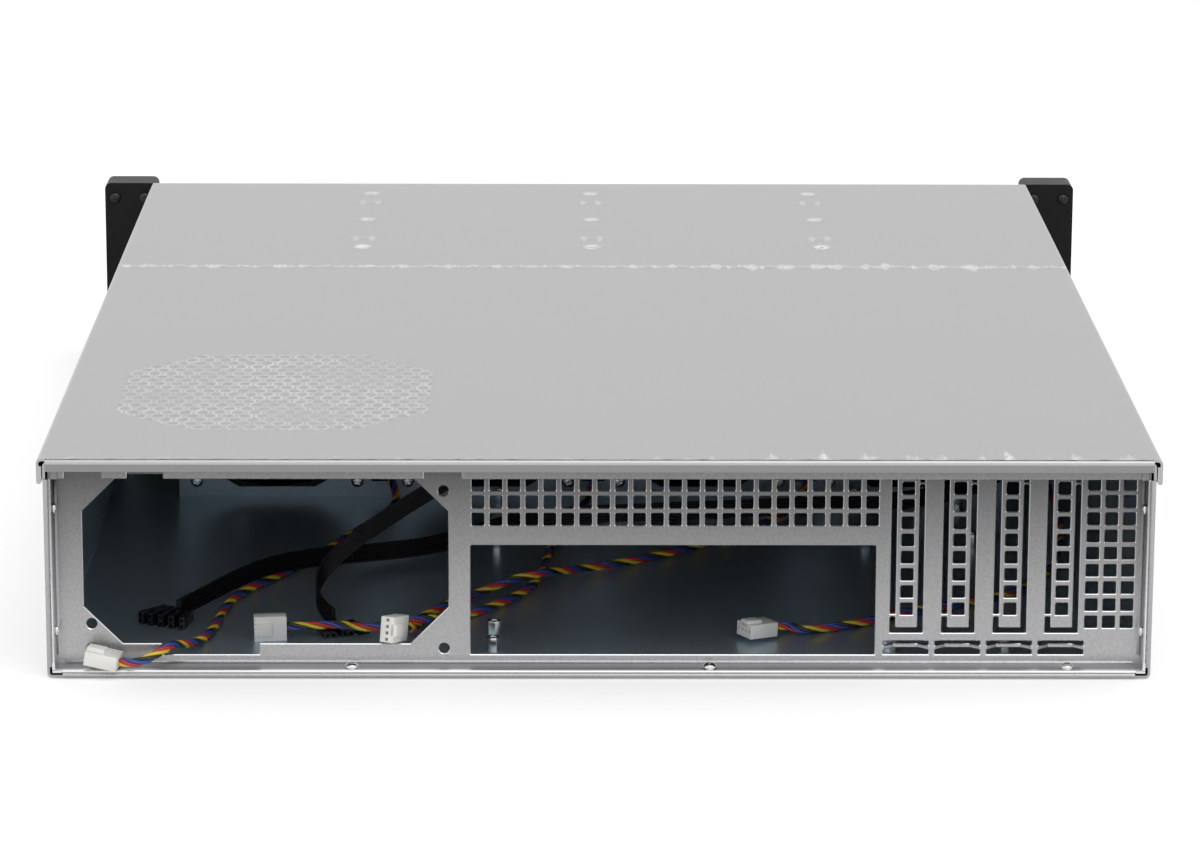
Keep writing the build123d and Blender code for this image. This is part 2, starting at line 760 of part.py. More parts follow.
def fan_wall():
    holes = [fan_opening(across) for across in fans_across]
    slot_middle = (cable_slot_bottom + cable_slot_top) / 2
    tall = cable_slot_top - cable_slot_bottom
    for across in cable_slot_places():
        holes.append(box_wire(across, slot_middle, cable_slot_share * fan_gap, tall))
    edge = box_wire(0, (sheet + wall_top) / 2, 2 * wall_half_width, wall_top - sheet)
    wall = pierced(rear_view(wall_depth + sheet), edge, holes)
    span = (-wall_half_width, wall_half_width)
    depths = (wall_depth + sheet, wall_depth + wall_flange)
    wall += block(span, depths, (sheet, 2 * sheet))
    wall += block(span, depths, (wall_top - sheet, wall_top))
    return wall


def cable_slot_places():
    """Places across of the cable slots, between neighbouring fans."""
    return [(a + b) / 2 for a, b in zip(fans_across, fans_across[1:])]


def fan_frame(across):
    """A square duct with a hub on struts at its rear and a flat boss for its wires."""
    near = wall_depth + sheet
    base = rear_view(near + fan_thickness).location * Pos(across, fan_height, 0)
    ends = Rectangle(fan_size, fan_size)
    frame = extrude(ends, fan_flange)
    frame += Pos(0, 0, fan_thickness - fan_flange) * extrude(ends, fan_flange)
    frame += round_bar(fan_size - 0.4, fan_thickness, fan_side_count)
    frame -= round_bar(fan_bore, fan_thickness, fan_side_count)
    hub = round_bar(hub_diameter, strut_thickness)
    for i in range(strut_count):
        arm = Pos(fan_bore / 4, 0, strut_thickness / 2) * Box(fan_bore / 2, strut_width, strut_thickness)
        hub += Rot(0, 0, 45 + i * 360 / strut_count) * arm
    hub -= round_bar(shaft_diameter + 2 * shaft_clearance, strut_thickness)
    frame += Pos(0, 0, fan_thickness - strut_thickness) * hub
    # The wires leave through a flat boss in the corner, into the gap between two fans.
    half = wire_boss_width / 2
    outer = across + fan_size / 2 - wire_exit_inset
    middle = near + fan_thickness / 2
    boss = block((outer - wire_boss_width, outer), (middle - half, middle + half),
                 (wire_exit_height - half, wire_exit_height + half))
    return base * frame + (boss - base * round_bar(fan_size - 2, fan_thickness, fan_side_count))


def fan_rotor(across):
    """A hub cup with its shaft and flat blades set at an angle."""
    near = wall_depth + sheet
    base = rear_view(near + fan_thickness - rotor_setback).location * Pos(across, fan_height, 0)
    length = fan_thickness - rotor_setback - strut_thickness - rotor_setback / 2
    cup = round_bar(hub_diameter, length) - Pos(0, 0, 2) * round_bar(hub_diameter - 4, length)
    rotor = cup + round_bar(shaft_diameter, length + rotor_setback / 2 + strut_thickness)
    root, tip = hub_diameter / 2 - 0.8, fan_bore / 2 - blade_tip_gap
    middle = (root + tip) / 2
    for i in range(blade_count):
        blade = Pos(middle, 0, length / 2) * Rot(blade_angle, 0, 0) * Box(tip - root, blade_chord, blade_thickness)
        rotor += Rot(0, 0, i * 360 / blade_count) * blade
    return base * rotor


# Rack ears: moulded blocks, thinned to a flange round the rack slots.
def rack_ear(side):
    inner, outer = half_width, rack_span / 2
    near, far = body_depth, body_depth + ear_depth
    middle = side * (inner + outer) / 2
    body = Pos(-middle, y_at((near + far) / 2), body_height / 2) * Box(outer - inner, ear_depth, body_height)
    body = fillet(body.edges().filter_by(Axis.Y), ear_corner)
    hole = side * rack_hole_span / 2
    slot = SlotOverall(rack_slot_length, rack_slot_width)
    for i in range(rack_hole_count):
        height = rack_hole_low + i * rack_hole_pitch
        low = max(height - ear_pocket_height / 2, -1)
        pocket = (hole - ear_pocket_width / 2, hole + ear_pocket_width / 2)
        body -= block(pocket, (near + ear_flange, far + 1), (low, height + ear_pocket_height / 2))
        through = extrude(slot, ear_flange + 2)
        body -= rear_view(near + ear_flange + 1).location * Pos(hole, height, 0) * through
    # A lobe beside the top of the front panel covers the cable hole or the fixing there.
    lobe = (side * (inner - lobe_width), side * (inner + ear_corner + 1))
    body += block(lobe, (near, far - lobe_setback), (bay_top + 1.5, body_height - lobe_drop))
    return body


def button_hole(across, height, diameter):
    """The stepped hole of a push button, from the front face inward."""
    plane = rear_view(body_depth + ear_depth)
    hole = extrude(Circle(diameter / 2 + button_clearance), button_length + button_travel + 1)
    return plane.location * Pos(across, height, 0) * hole


def push_button(across, height, diameter):
    plane = rear_view(body_depth + ear_depth)
    return plane.location * Pos(across, height, 0) * extrude(Circle(diameter / 2), button_length)


def left_ear():
    """The ear at the front's left, which holds the controls."""
    ear = rack_ear(1)
    ear -= button_hole(button_across, body_height - power_button_drop, power_button_diameter)
    ear -= button_hole(button_across, body_height - reset_button_drop, reset_button_diameter)
    for bottom in socket_bottoms:
        ear -= socket_body(bottom, 0.0)
    return ear


def socket_body(bottom, inset):
    far = body_depth + ear_depth + (1 if inset == 0 else 0)
    half = socket_width / 2 - inset
    return block((button_across - half, button_across + half), (body_depth + ear_depth - socket_length, far),
                 (bottom + inset, bottom + socket_height - inset))


def usb_sockets():
    sockets = []
    for bottom in socket_bottoms:
        shell = socket_body(bottom, 0.02)
        half = socket_width / 2 - 0.5
        cavity = block((button_across - half, button_across + half),
                       (body_depth + ear_depth - socket_length + 1, body_depth + ear_depth + 1),
                       (bottom + 0.5, bottom + socket_height - 0.5))
        tongue = block((button_across - half - 0.1, button_across - half + 1.6),
                       (body_depth + ear_depth - socket_length + 0.5, body_depth + ear_depth - 1.5),
                       (bottom + 1.6, bottom + socket_height - 1.6))
        sockets.append(shell - cavity + tongue)
    return sockets


# Board standoffs on the floor.
def board_standoffs():
    first = half_width - board_wall_gap
    columns = [first] + [first + span for span in board_span]
    rows = [board_depth] + [board_depth + span for span in board_rows]
    places = [(x, d) for x in columns for d in rows] + [(first, board_depth + board_extra_row)]
    shape = round_bar(standoff_across_flats, standoff_height, head_side_count)
    shape -= round_bar(standoff_bore, standoff_height)
    return [Pos(-x, y_at(d), sheet) * shape for x, d in places]


# Fasteners
def panel_screws():
    head = button_head(head_diameter, head_height)
    return [Pos(-x, y_at(flange_screw_depth), 3 * sheet) * head for x in floor_screw_across]


def side_rivets():
    head = button_head(rivet_diameter, rivet_height)
    rivets = []
    for side in (-1, 1):
        for height in side_rivet_heights:
            face = -side * (panel_flange_half - sheet)
            plane = Plane(origin=(face, y_at(flange_screw_depth), height), x_dir=(0, 1, 0), z_dir=(side, 0, 0))
            rivets.append(plane.location * head)
    return rivets


def fan_screws():
    head = button_head(head_diameter, head_height)
    half = fan_hole_span / 2
    return [
        on_rear(across + i * half, wall_depth, fan_height + j * half, head)
        for across in fans_across for i in (-1, 1) for j in (-1, 1)
    ]


def ear_screws():
    head = button_head(rivet_diameter, rivet_height)
    return [
        on_rear(side * across, body_depth, ear_screw_height, head)
        for side in (-1, 1) for across in ear_screw_places
    ]


def cover_screws():
    head = button_head(head_diameter, head_height)
    shank = round_bar(head_diameter / 2, cover_overhang, head_side_count)
    screws = []
    for side in (-1, 1):
        for depth in cover_screw_depths:
            plane = Plane(origin=(-side * cover_half, y_at(depth), cover_screw_height), z_dir=(-side, 0, 0))
            screws.append(plane.location * (head + Pos(0, 0, -cover_overhang) * shank))
    return screws


# Cables: tubes and ribbons of straight runs joined by tangent arcs.
def cable_path(points):
    """A route with each arc as large as its two runs allow, at places across, deep and high."""
    places = [Vector(-across, y_at(depth), height) for across, depth, height in points]
    radii = []
    for before, corner, after in zip(places, places[1:], places[2:]):
        one, two = corner - before, after - corner
        half_turn = radians(one.get_angle(two)) / 2
        radii.append(arc_share * min(one.length, two.length) / tan(half_turn))
    with BuildLine() as line:
        FilletPolyline(*places, radius=radii)
    return line.wires()[0], radii


def cable(name, points, section):
    """A section swept along a route, with its smallest radius and its volume printed."""
    path, radii = cable_path(points)
    start = Plane(origin=path @ 0, x_dir=(0, 0, 1), z_dir=path % 0)
    face = start * section
    solid = sweep(face, path=path)
    share = solid.volume / (face.area * path.length)
    print(f"{name}: length {path.length:.0f}, least radius {min(radii):.1f}, volume share {share:.4f}")
    return solid


def fan_exit(across):
    """Where a fan's wires leave its boss, and their way through the slot beside it."""
    start = across + fan_size / 2 - wire_exit_inset
    middle = wall_depth + sheet + fan_thickness / 2
    beside = across + fan_pitch / 2 - wire_exit_play
    return [(start, middle, wire_exit_height), (beside, middle, wire_exit_height)]


def fan_cables():
    """The wires of each fan, two by two in a square bundle."""
    return [
        cable(f"fan_cable_{i}", fan_exit(across) + route, Rectangle(fan_cable, fan_cable))
        for i, (across, route) in enumerate(zip(fans_across, fan_cable_routes), 1)
    ]


def connector(before, end, roll):
    """A four-pin housing that carries on from the last run of its cable."""
    length, width, thickness = connector_size
    body = Pos(0, 0, length / 2) * Box(width, thickness, length)
    body += Pos(0, -thickness / 2, length - rib_length / 2) * Box(rib_width, 2 * rib_height, rib_length)
    for i in range(connector_pins):
        across = (i - (connector_pins - 1) / 2) * pin_pitch
        body -= Pos(across, 0, length) * Box(pin_hole, pin_hole, 2 * pin_depth)
    away = Vector(before[0] - end[0], before[1] - end[1], end[2] - before[2])
    level = away.cross(Vector(0, 0, 1))
    place = Plane(origin=(-end[0], y_at(end[1]), end[2]), x_dir=level, z_dir=away)
    return place.location * Rot(0, 0, roll) * body


def fan_connectors():
    return [connector(*route[-2:], roll) for route, roll in zip(fan_cable_routes, connector_rolls)]


def header_plugs(route, count, on_edge):
    """Small plugs fanned out on the floor from the end of a ribbon."""
    (x0, d0, _), (x1, d1, _) = route[-2:]
    away = Vector(x0 - x1, d0 - d1, 0)
    length, wide, tall = header_size
    if on_edge:
        wide, tall = tall, wide
    plane = Plane(origin=(-x1, y_at(d1), sheet), x_dir=(0, 0, 1), z_dir=away)
    plugs = []
    for i in range(count):
        step = i - (count - 1) / 2
        plug = Rot(step * header_spread, 0, 0) * Pos(tall / 2, 0, length / 2) * Box(tall, wide, length)
        plugs.append(plane.location * Pos(0, -step * (wide + header_gap), 0) * plug)
    return plugs


nodes = {
    "chassis_tray": [chassis_tray()],
    "rear_panel": [rear_panel()],
    "top_cover": [top_cover()],
    "cover_film": [protective_film(0, seam_depth, 1.0)],
    "front_top_panel": [front_top_panel()],
    "front_film": [protective_film(seam_depth, body_depth, 1.0)],
    "front_panel": [front_panel()],
    "bay_side_left": [bay_side(1)],
    "bay_side_right": [bay_side(-1)],
    "backplane_board": [backplane_board()],
    "backplane_sockets": backplane_sockets(),
    "fan_wall": [fan_wall()],
    "ear_left": [left_ear()],
    "ear_right": [rack_ear(-1)],
    "power_button": [push_button(button_across, body_height - power_button_drop, power_button_diameter)],
    "reset_button": [push_button(button_across, body_height - reset_button_drop, reset_button_diameter)],
    "usb_sockets": usb_sockets(),
    "board_standoffs": board_standoffs(),
    "panel_screws": panel_screws(),
    "side_rivets": side_rivets(),
    "fan_screws": fan_screws(),
    "ear_screws": ear_screws(),
    "cover_screws": cover_screws(),
    "ear_ribbon": [cable("ear_ribbon", ear_ribbon_route, Rectangle(ribbon_width, ribbon_thickness))],
    "port_ribbon": [cable("port_ribbon", port_ribbon_route, Rectangle(ribbon_width, ribbon_thickness))],
    "fan_connectors": fan_connectors(),
    "header_plugs": header_plugs(ear_ribbon_route, 5, True) + header_plugs(port_ribbon_route, 3, False),
}
for number, solid in enumerate(fan_cables(), 1):
    nodes[f"fan_cable_{number}"] = [solid]
for number, across in enumerate(divider_across, 1):
    nodes[f"bay_divider_{number}"] = [bay_divider(across)]
for number, across in enumerate(fans_across, 1):
    nodes[f"fan_frame_{number}"] = [fan_frame(across)]
    nodes[f"fan_rotor_{number}"] = [fan_rotor(across)]
for number, (column, row) in enumerate(bays(), 1):
    nodes[f"drive_tray_{number}"] = [drive_tray(column, row)]
    nodes[f"tray_lever_{number}"] = [tray_lever(column, row)]

os.makedirs("parts", exist_ok=True)
for name, solids in nodes.items():
    whole = solids[0] if len(solids) == 1 else Compound(children=list(solids))
    export_step(whole, f"parts/{name}.step")
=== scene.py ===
"""An empty rackmount server case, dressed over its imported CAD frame.

Lengths are written in millimetres where a name says so, and turned into metres by MM.
The front faces -Y, the rear +Y, and Z is up from the underside of the floor.
"""
from __future__ import annotations

import json
import logging
import math
from dataclasses import dataclass, field
from enum import Enum
from typing import Iterable, Sequence

import bmesh
import bpy
from mathutils import Matrix, Vector
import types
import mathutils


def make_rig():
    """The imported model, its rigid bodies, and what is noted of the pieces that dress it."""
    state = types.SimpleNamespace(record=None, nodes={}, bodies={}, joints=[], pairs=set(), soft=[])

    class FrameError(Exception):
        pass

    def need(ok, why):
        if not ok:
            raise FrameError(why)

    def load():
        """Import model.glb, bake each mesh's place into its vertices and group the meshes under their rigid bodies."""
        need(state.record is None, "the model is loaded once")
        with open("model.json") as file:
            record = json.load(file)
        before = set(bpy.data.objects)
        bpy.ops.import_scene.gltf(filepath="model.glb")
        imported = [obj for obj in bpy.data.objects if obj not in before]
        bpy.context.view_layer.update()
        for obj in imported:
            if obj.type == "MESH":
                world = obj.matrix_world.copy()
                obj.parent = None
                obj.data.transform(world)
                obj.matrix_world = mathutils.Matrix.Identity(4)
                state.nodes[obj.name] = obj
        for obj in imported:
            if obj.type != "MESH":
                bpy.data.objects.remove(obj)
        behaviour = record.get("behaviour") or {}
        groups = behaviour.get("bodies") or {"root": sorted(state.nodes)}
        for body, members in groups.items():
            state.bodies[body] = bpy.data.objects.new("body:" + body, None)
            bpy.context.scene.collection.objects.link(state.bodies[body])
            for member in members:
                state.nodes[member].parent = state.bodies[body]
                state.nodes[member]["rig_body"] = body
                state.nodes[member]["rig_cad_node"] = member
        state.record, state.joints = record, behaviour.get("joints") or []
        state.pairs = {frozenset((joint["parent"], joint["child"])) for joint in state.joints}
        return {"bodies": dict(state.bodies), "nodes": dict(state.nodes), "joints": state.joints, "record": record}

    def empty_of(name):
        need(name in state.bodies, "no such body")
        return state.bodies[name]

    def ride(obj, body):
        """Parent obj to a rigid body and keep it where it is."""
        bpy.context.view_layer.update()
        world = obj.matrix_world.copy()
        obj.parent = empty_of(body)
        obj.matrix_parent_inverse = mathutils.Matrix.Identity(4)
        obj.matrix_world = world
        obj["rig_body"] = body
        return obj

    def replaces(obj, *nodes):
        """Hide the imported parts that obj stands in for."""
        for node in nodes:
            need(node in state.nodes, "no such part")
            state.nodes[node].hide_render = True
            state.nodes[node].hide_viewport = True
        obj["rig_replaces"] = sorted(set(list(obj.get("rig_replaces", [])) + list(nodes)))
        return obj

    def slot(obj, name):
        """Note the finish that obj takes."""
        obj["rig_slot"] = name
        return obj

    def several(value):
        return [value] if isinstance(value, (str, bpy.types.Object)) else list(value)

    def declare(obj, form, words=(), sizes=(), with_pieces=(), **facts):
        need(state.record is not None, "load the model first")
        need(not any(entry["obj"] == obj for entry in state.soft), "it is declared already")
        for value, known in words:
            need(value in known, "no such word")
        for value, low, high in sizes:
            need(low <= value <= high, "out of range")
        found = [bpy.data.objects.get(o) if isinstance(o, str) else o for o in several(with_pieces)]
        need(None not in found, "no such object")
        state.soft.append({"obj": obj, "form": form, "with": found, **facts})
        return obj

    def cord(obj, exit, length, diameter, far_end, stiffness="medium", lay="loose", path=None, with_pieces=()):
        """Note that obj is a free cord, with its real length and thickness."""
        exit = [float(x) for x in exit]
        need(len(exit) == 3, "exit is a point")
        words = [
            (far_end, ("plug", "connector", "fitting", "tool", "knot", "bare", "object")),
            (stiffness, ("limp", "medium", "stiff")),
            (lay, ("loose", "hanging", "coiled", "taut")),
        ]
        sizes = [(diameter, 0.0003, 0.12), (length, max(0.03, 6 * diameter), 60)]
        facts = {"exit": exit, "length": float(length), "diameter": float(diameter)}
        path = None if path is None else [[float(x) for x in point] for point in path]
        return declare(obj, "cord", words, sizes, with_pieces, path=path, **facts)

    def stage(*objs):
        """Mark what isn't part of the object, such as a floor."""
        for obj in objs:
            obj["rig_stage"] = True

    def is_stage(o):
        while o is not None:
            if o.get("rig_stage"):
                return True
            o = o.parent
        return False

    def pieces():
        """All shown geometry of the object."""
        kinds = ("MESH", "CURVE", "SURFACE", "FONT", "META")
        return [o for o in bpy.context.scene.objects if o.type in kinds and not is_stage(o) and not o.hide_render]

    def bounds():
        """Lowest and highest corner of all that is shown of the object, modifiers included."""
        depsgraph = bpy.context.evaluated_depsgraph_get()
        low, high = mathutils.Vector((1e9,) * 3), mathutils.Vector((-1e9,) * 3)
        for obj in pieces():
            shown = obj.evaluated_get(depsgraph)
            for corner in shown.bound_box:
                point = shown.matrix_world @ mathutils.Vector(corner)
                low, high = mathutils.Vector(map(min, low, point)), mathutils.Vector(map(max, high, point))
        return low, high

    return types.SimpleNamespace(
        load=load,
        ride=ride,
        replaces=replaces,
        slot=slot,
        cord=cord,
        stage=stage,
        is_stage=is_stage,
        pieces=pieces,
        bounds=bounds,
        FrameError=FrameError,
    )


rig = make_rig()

LOG = logging.getLogger("server_case")
Piece = bpy.types.Object
Finish = bpy.types.Material
Triple = tuple[float, float, float]
MM = 0.001
REAR_EDGE = 284.0
BODY_DEPTH = 550.0
SEAM_DEPTH = 354.0
COVER_TOP = 88.0
COVER_HALF = 218.15
BAY_PITCH = 107.3
DOUBLES = 1e-6
UP = Vector((0, 0, 1)).freeze()
LEANING = Vector((0.1, 0.2, 1)).freeze()


def place(across: float, depth: float, height: float) -> Vector:
    """Turns a place across, deep and high into the model's frame.

    Args:
        across: Millimetres to the right as seen from the rear.
        depth: Millimetres forward of the rear edge.
        height: Millimetres above the underside.

    Returns:
        The place in metres.
    """
    return Vector((-across, REAR_EDGE - depth, height)) * MM


def mm(*values: float) -> tuple[float, ...]:
    """Turns millimetres into metres."""
    return tuple(value * MM for value in values)


# Blisters in the front film, each with a painted highlight: depth, distance aside of a divider, half width, half
# length and brightness of the painted highlight
BLISTERS = (
    (523.0, 0.0, 4.4, 5.5, 0.7), (460.0, 0.0, 4.4, 5.0, 0.75), (397.0, 0.0, 4.4, 6.0, 0.95),
    (501.0, 3.7, 1.9, 6.5, 0.42), (416.0, 3.7, 1.9, 7.0, 0.45),
)


class Body(Enum):
    """The rigid bodies that pieces ride on."""

    CHASSIS = "chassis"
    COVER = "cover"


@dataclass(frozen=True)
class Vent:
    """The round vent holes of the cover, in staggered rows inside an outline with cut corners.

    Lengths are in millimetres from the middle, which is across and deep.
    """

    middle: tuple[float, float] = (-131.0, 112.5)
    reach: tuple[float, float] = (63.0, 65.5)
    corner: float = 98.0
    pitch: float = 7.0
    row: float = 6.06
    hole: float = 5.0

    def centres(self) -> list[tuple[float, float]]:
        """Gives the holes' places across and deep."""
        found = []
        columns = int(self.reach[0] // self.pitch) + 1
        rows = int(self.reach[1] // self.row)
        for j in range(-rows, rows + 1):
            shift = self.pitch / 2 if j % 2 else 0.0
            for i in range(-columns, columns + 1):
                u, v = i * self.pitch + shift, j * self.row
                if abs(u) < self.reach[0] and abs(v) < self.reach[1] and abs(u) + abs(v) < self.corner:
                    found.append((self.middle[0] + u, self.middle[1] + v))
        return found


VENT = Vent()


# Shader maths


class Term:
    """A number inside a shader, so that node maths reads as an expression."""

    def __init__(self, shader: "Shader", socket: bpy.types.NodeSocket) -> None:
        """Keeps the shader that the number belongs to and the socket it leaves by."""
        self.shader = shader
        self.socket = socket

    def maths(self, operation: str, *others: "Term | float", clamp: bool = False) -> "Term":
        """Adds a Math node that starts with this number.

        Args:
            operation: The node's operation.
            others: The values or terms of its other inputs.
            clamp: Whether the result is kept from 0 to 1.

        Returns:
            The node's result.
        """
        return self.shader.maths(operation, self, *others, clamp=clamp)

    def __add__(self, other: "Term | float") -> "Term":
        """Adds."""
        return self.maths("ADD", other)

    __radd__ = __add__

    def __sub__(self, other: "Term | float") -> "Term":
        """Subtracts."""
        return self.maths("SUBTRACT", other)

    def __rsub__(self, other: float) -> "Term":
        """Is subtracted from a number."""
        return self.shader.maths("SUBTRACT", other, self)

    def __mul__(self, other: "Term | float") -> "Term":
        """Multiplies."""
        return self.maths("MULTIPLY", other)

    __rmul__ = __mul__

    def __truediv__(self, other: "Term | float") -> "Term":
        """Divides."""
        return self.maths("DIVIDE", other)

    def __lt__(self, other: "Term | float") -> "Term":
        """Is 1 where this number is the smaller one."""
        return self.maths("LESS_THAN", other)

    def __gt__(self, other: "Term | float") -> "Term":
        """Is 1 where this number is the larger one."""
        return self.maths("GREATER_THAN", other)

    def __abs__(self) -> "Term":
        """Drops the sign."""
        return self.maths("ABSOLUTE")

    def ramp(self, low: float, high: float) -> "Term":
        """Runs from 0 at one value of this number to 1 at another.

        Args:
            low: The value that gives 0.
            high: The value that gives 1.

        Returns:
            The clamped result.
        """
        return ((self - low) / (high - low)).maths("MULTIPLY", 1.0, clamp=True)

    def band(self, start: float, full: float, fade: float, end: float) -> "Term":
        """Rises from 0 to 1 between the first two values of this number, and falls between the last two."""
        return self.ramp(start, full) - self.ramp(fade, end)

    def larger(self, other: "Term | float") -> "Term":
        """Gives the larger of two numbers."""
        return self.maths("MAXIMUM", other)


Value = Term | float | Sequence[float]


class Shader:
    """A material built node by node."""

    def __init__(self, name: str) -> None:
        """Starts an empty material with this name."""
        self.material = bpy.data.materials.new(name)
        self.material.use_nodes = True
        self.tree = self.material.node_tree
        self.tree.nodes.clear()

    def node(self, kind: str, settings: dict[str, object] | None = None, **inputs: Value) -> bpy.types.Node:
        """Adds a node, sets its settings first and then fills its sockets.

        Args:
            kind: The node's type without the ShaderNode in front.
            settings: Properties of the node.
            inputs: Values or links by socket name, with _ for a space, or a number after _ for an index.

        Returns:
            The node.
        """
        made = self.tree.nodes.new("ShaderNode" + kind)
        for name, value in (settings or {}).items():
            setattr(made, name, value)
        for name, value in inputs.items():
            key = int(name[1:]) if name[1:].isdigit() and name[0] == "_" else name.replace("_", " ")
            socket = made.inputs[key]
            if isinstance(value, Term):
                self.tree.links.new(value.socket, socket)
            elif isinstance(value, bpy.types.NodeSocket):
                self.tree.links.new(value, socket)
            else:
                socket.default_value = value
        return made

    def maths(self, operation: str, *values: Value, clamp: bool = False) -> Term:
        """Adds a Math node.

        Args:
            operation: The node's operation.
            values: Its inputs in order.
            clamp: Whether the result is kept from 0 to 1.

        Returns:
            The node's result.
        """
        settings = {"operation": operation, "use_clamp": clamp}
        made = self.node("Math", settings, **{f"_{i}": value for i, value in enumerate(values)})
        return Term(self, made.outputs[0])

    def position(self) -> tuple[Term, Term, Term]:
        """Gives the place on the surface in the model's frame, in metres."""
        spot = self.node("TexCoord").outputs["Object"]
        x, y, z = (Term(self, part) for part in self.node("SeparateXYZ", Vector=spot).outputs)
        return x, y, z

    def noise(self, scale: float, detail: float = 2.0, stretch: Sequence[float] = (1, 1, 1)) -> Term:
        """Gives a cloudy number about 0.5.

        Args:
            scale: Waves in a metre.
            detail: Finer layers.
            stretch: Scale along each axis.

        Returns:
            The noise.
        """
        spot = self.node("TexCoord").outputs["Object"]
        turned = self.node("Mapping", Vector=spot, Scale=tuple(stretch)).outputs[0]
        made = self.node("TexNoise", Vector=turned, Scale=scale, Detail=detail)
        return Term(self, made.outputs[0])

    def mix(self, factor: Value, first: Value, second: Value, blend: str = "MIX") -> Term:
        """Mixes two colours.

        Args:
            factor: 0 gives the first and 1 the blend.
            first: A colour.
            second: A colour.
            blend: How they blend.

        Returns:
            The mixed colour.
        """
        # The node keeps its colours in sockets 6 and 7, after those for numbers and vectors
        made = self.node("Mix", {"data_type": "RGBA", "blend_type": blend}, _0=factor, _6=first, _7=second)
        return Term(self, made.outputs[2])

    def scaled(self, colour: Value, share: Value) -> Term:
        """Makes a colour lighter or darker by a share.

        Args:
            colour: The colour.
            share: What it is multiplied by.

        Returns:
            The new colour.
        """
        return self.mix(1.0, colour, share, "MULTIPLY")

    def facing_up(self) -> Term:
        """Gives how far a face looks upwards, from -1 to 1."""
        made = self.node("SeparateXYZ", Vector=self.node("TexCoord").outputs["Normal"])
        return Term(self, made.outputs[2])

    def relief(self, height: Term, reach: float, strength: float = 1.0) -> Term:
        """Turns a height into a bumped normal.

        Args:
            height: The height, from 0 to 1.
            reach: How many metres a height of 1 is.
            strength: The bump's strength.

        Returns:
            The normal.
        """
        made = self.node("Bump", Height=height, Distance=reach, Strength=strength)
        return Term(self, made.outputs[0])

    def finish(self, **inputs: Value) -> Finish:
        """Ends the material in one principled surface.

        Args:
            inputs: Values or links of the surface's sockets.

        Returns:
            The material.
        """
        surface = self.node("BsdfPrincipled", **inputs)
        self.node("OutputMaterial", Surface=surface.outputs[0])
        return self.material


def rgb(colour: Sequence[float], share: float = 1.0) -> tuple[float, ...]:
    """Makes a colour lighter or darker by a share and gives it its fourth number."""
    return (*(part * share for part in colour), 1.0)


def depth_at(y: Term) -> Term:
    """Turns a place along Y in metres into millimetres forward of the rear edge."""
    return REAR_EDGE - y * (1 / MM)


# Finishes


@dataclass(frozen=True)
class SheetSteel:
    """Galvanised sheet with a fine satin mottle, which may take painted light: painted shade darkening it upwards, a
    painted bluish cast deep inside, painted highlights on upward faces and painted light or shade at a lip.
    """

    name: str
    tint: Triple = (0.50, 0.505, 0.51)
    mottle: float = 0.06
    roughness: float = 0.36
    grain: float = 900.0
    # The shares and brightness below paint light and shade: painted shade or painted reflection by height, a painted
    # highlight on upward faces, painted shade at the foot and at a lip
    low_share: float = 1.0
    high_share: float = 1.0
    rim: float = 0.0
    foot_drop: float = 0.0
    foot_top: float = 0.006
    # A painted bluish cast deep inside, with less metal, for the shade there
    inside: Triple | None = None
    inside_metal: float = 0.72
    inside_depths: tuple[float, float] = (12.5, 13.5)
    inside_heights: tuple[float, float] = (0.0008, 0.00095)
    wall_half: float = 215.1
    lip_share: float = 1.0
    lip_depth: float = 1.1
    lip_top: float = 0.0862

    def make(self) -> Finish:
        """Builds the material."""
        shader = Shader(self.name)
        x, y, z = shader.position()
        depth = depth_at(y)
        spangle = shader.noise(self.grain, 3.0)
        cloud = shader.noise(38.0, 2.0)
        dark, light = rgb(self.tint, 1 - self.mottle), rgb(self.tint, 1 + self.mottle)
        tint = shader.mix(spangle.ramp(0.35, 0.65), dark, light)
        metal: Value = 1.0
        # Painted shade: deep inside the tray the tint turns bluish and less metallic, standing in for the cool shade
        # there
        if self.inside:
            deep = depth.ramp(*self.inside_depths) * z.ramp(*self.inside_heights)
            deep = deep * (abs(x) < self.wall_half * MM)
            tint = shader.mix(deep, tint, rgb(self.inside))
            metal = 1.0 - deep * (1.0 - self.inside_metal)
        # Painted shade and painted reflection: the colour is scaled from one share at the bottom to another at the top
        share = self.low_share + z.ramp(0.0, COVER_TOP * MM) * (self.high_share - self.low_share)
        # Painted light or shade at the rear lip: a brighter or darker share near the rear edge
        if self.lip_share != 1.0:
            share = share * (1.0 + (depth < self.lip_depth) * (z < self.lip_top) * (self.lip_share - 1.0))
        # Painted highlight on upward faces, such as the lower rims of holes, and painted shade that darkens them at
        # the foot
        if self.rim:
            bright = self.rim - (z < self.foot_top) * self.foot_drop
            share = share + shader.facing_up().ramp(0.5, 0.9) * bright
        tint = shader.scaled(tint, share)
        rough = self.roughness + (cloud - 0.5) * 0.12 + (spangle - 0.5) * 0.10
        bump = shader.relief(spangle, 0.00002, 0.5)
        return shader.finish(Base_Color=tint, Metallic=metal, Roughness=rough, Normal=bump)


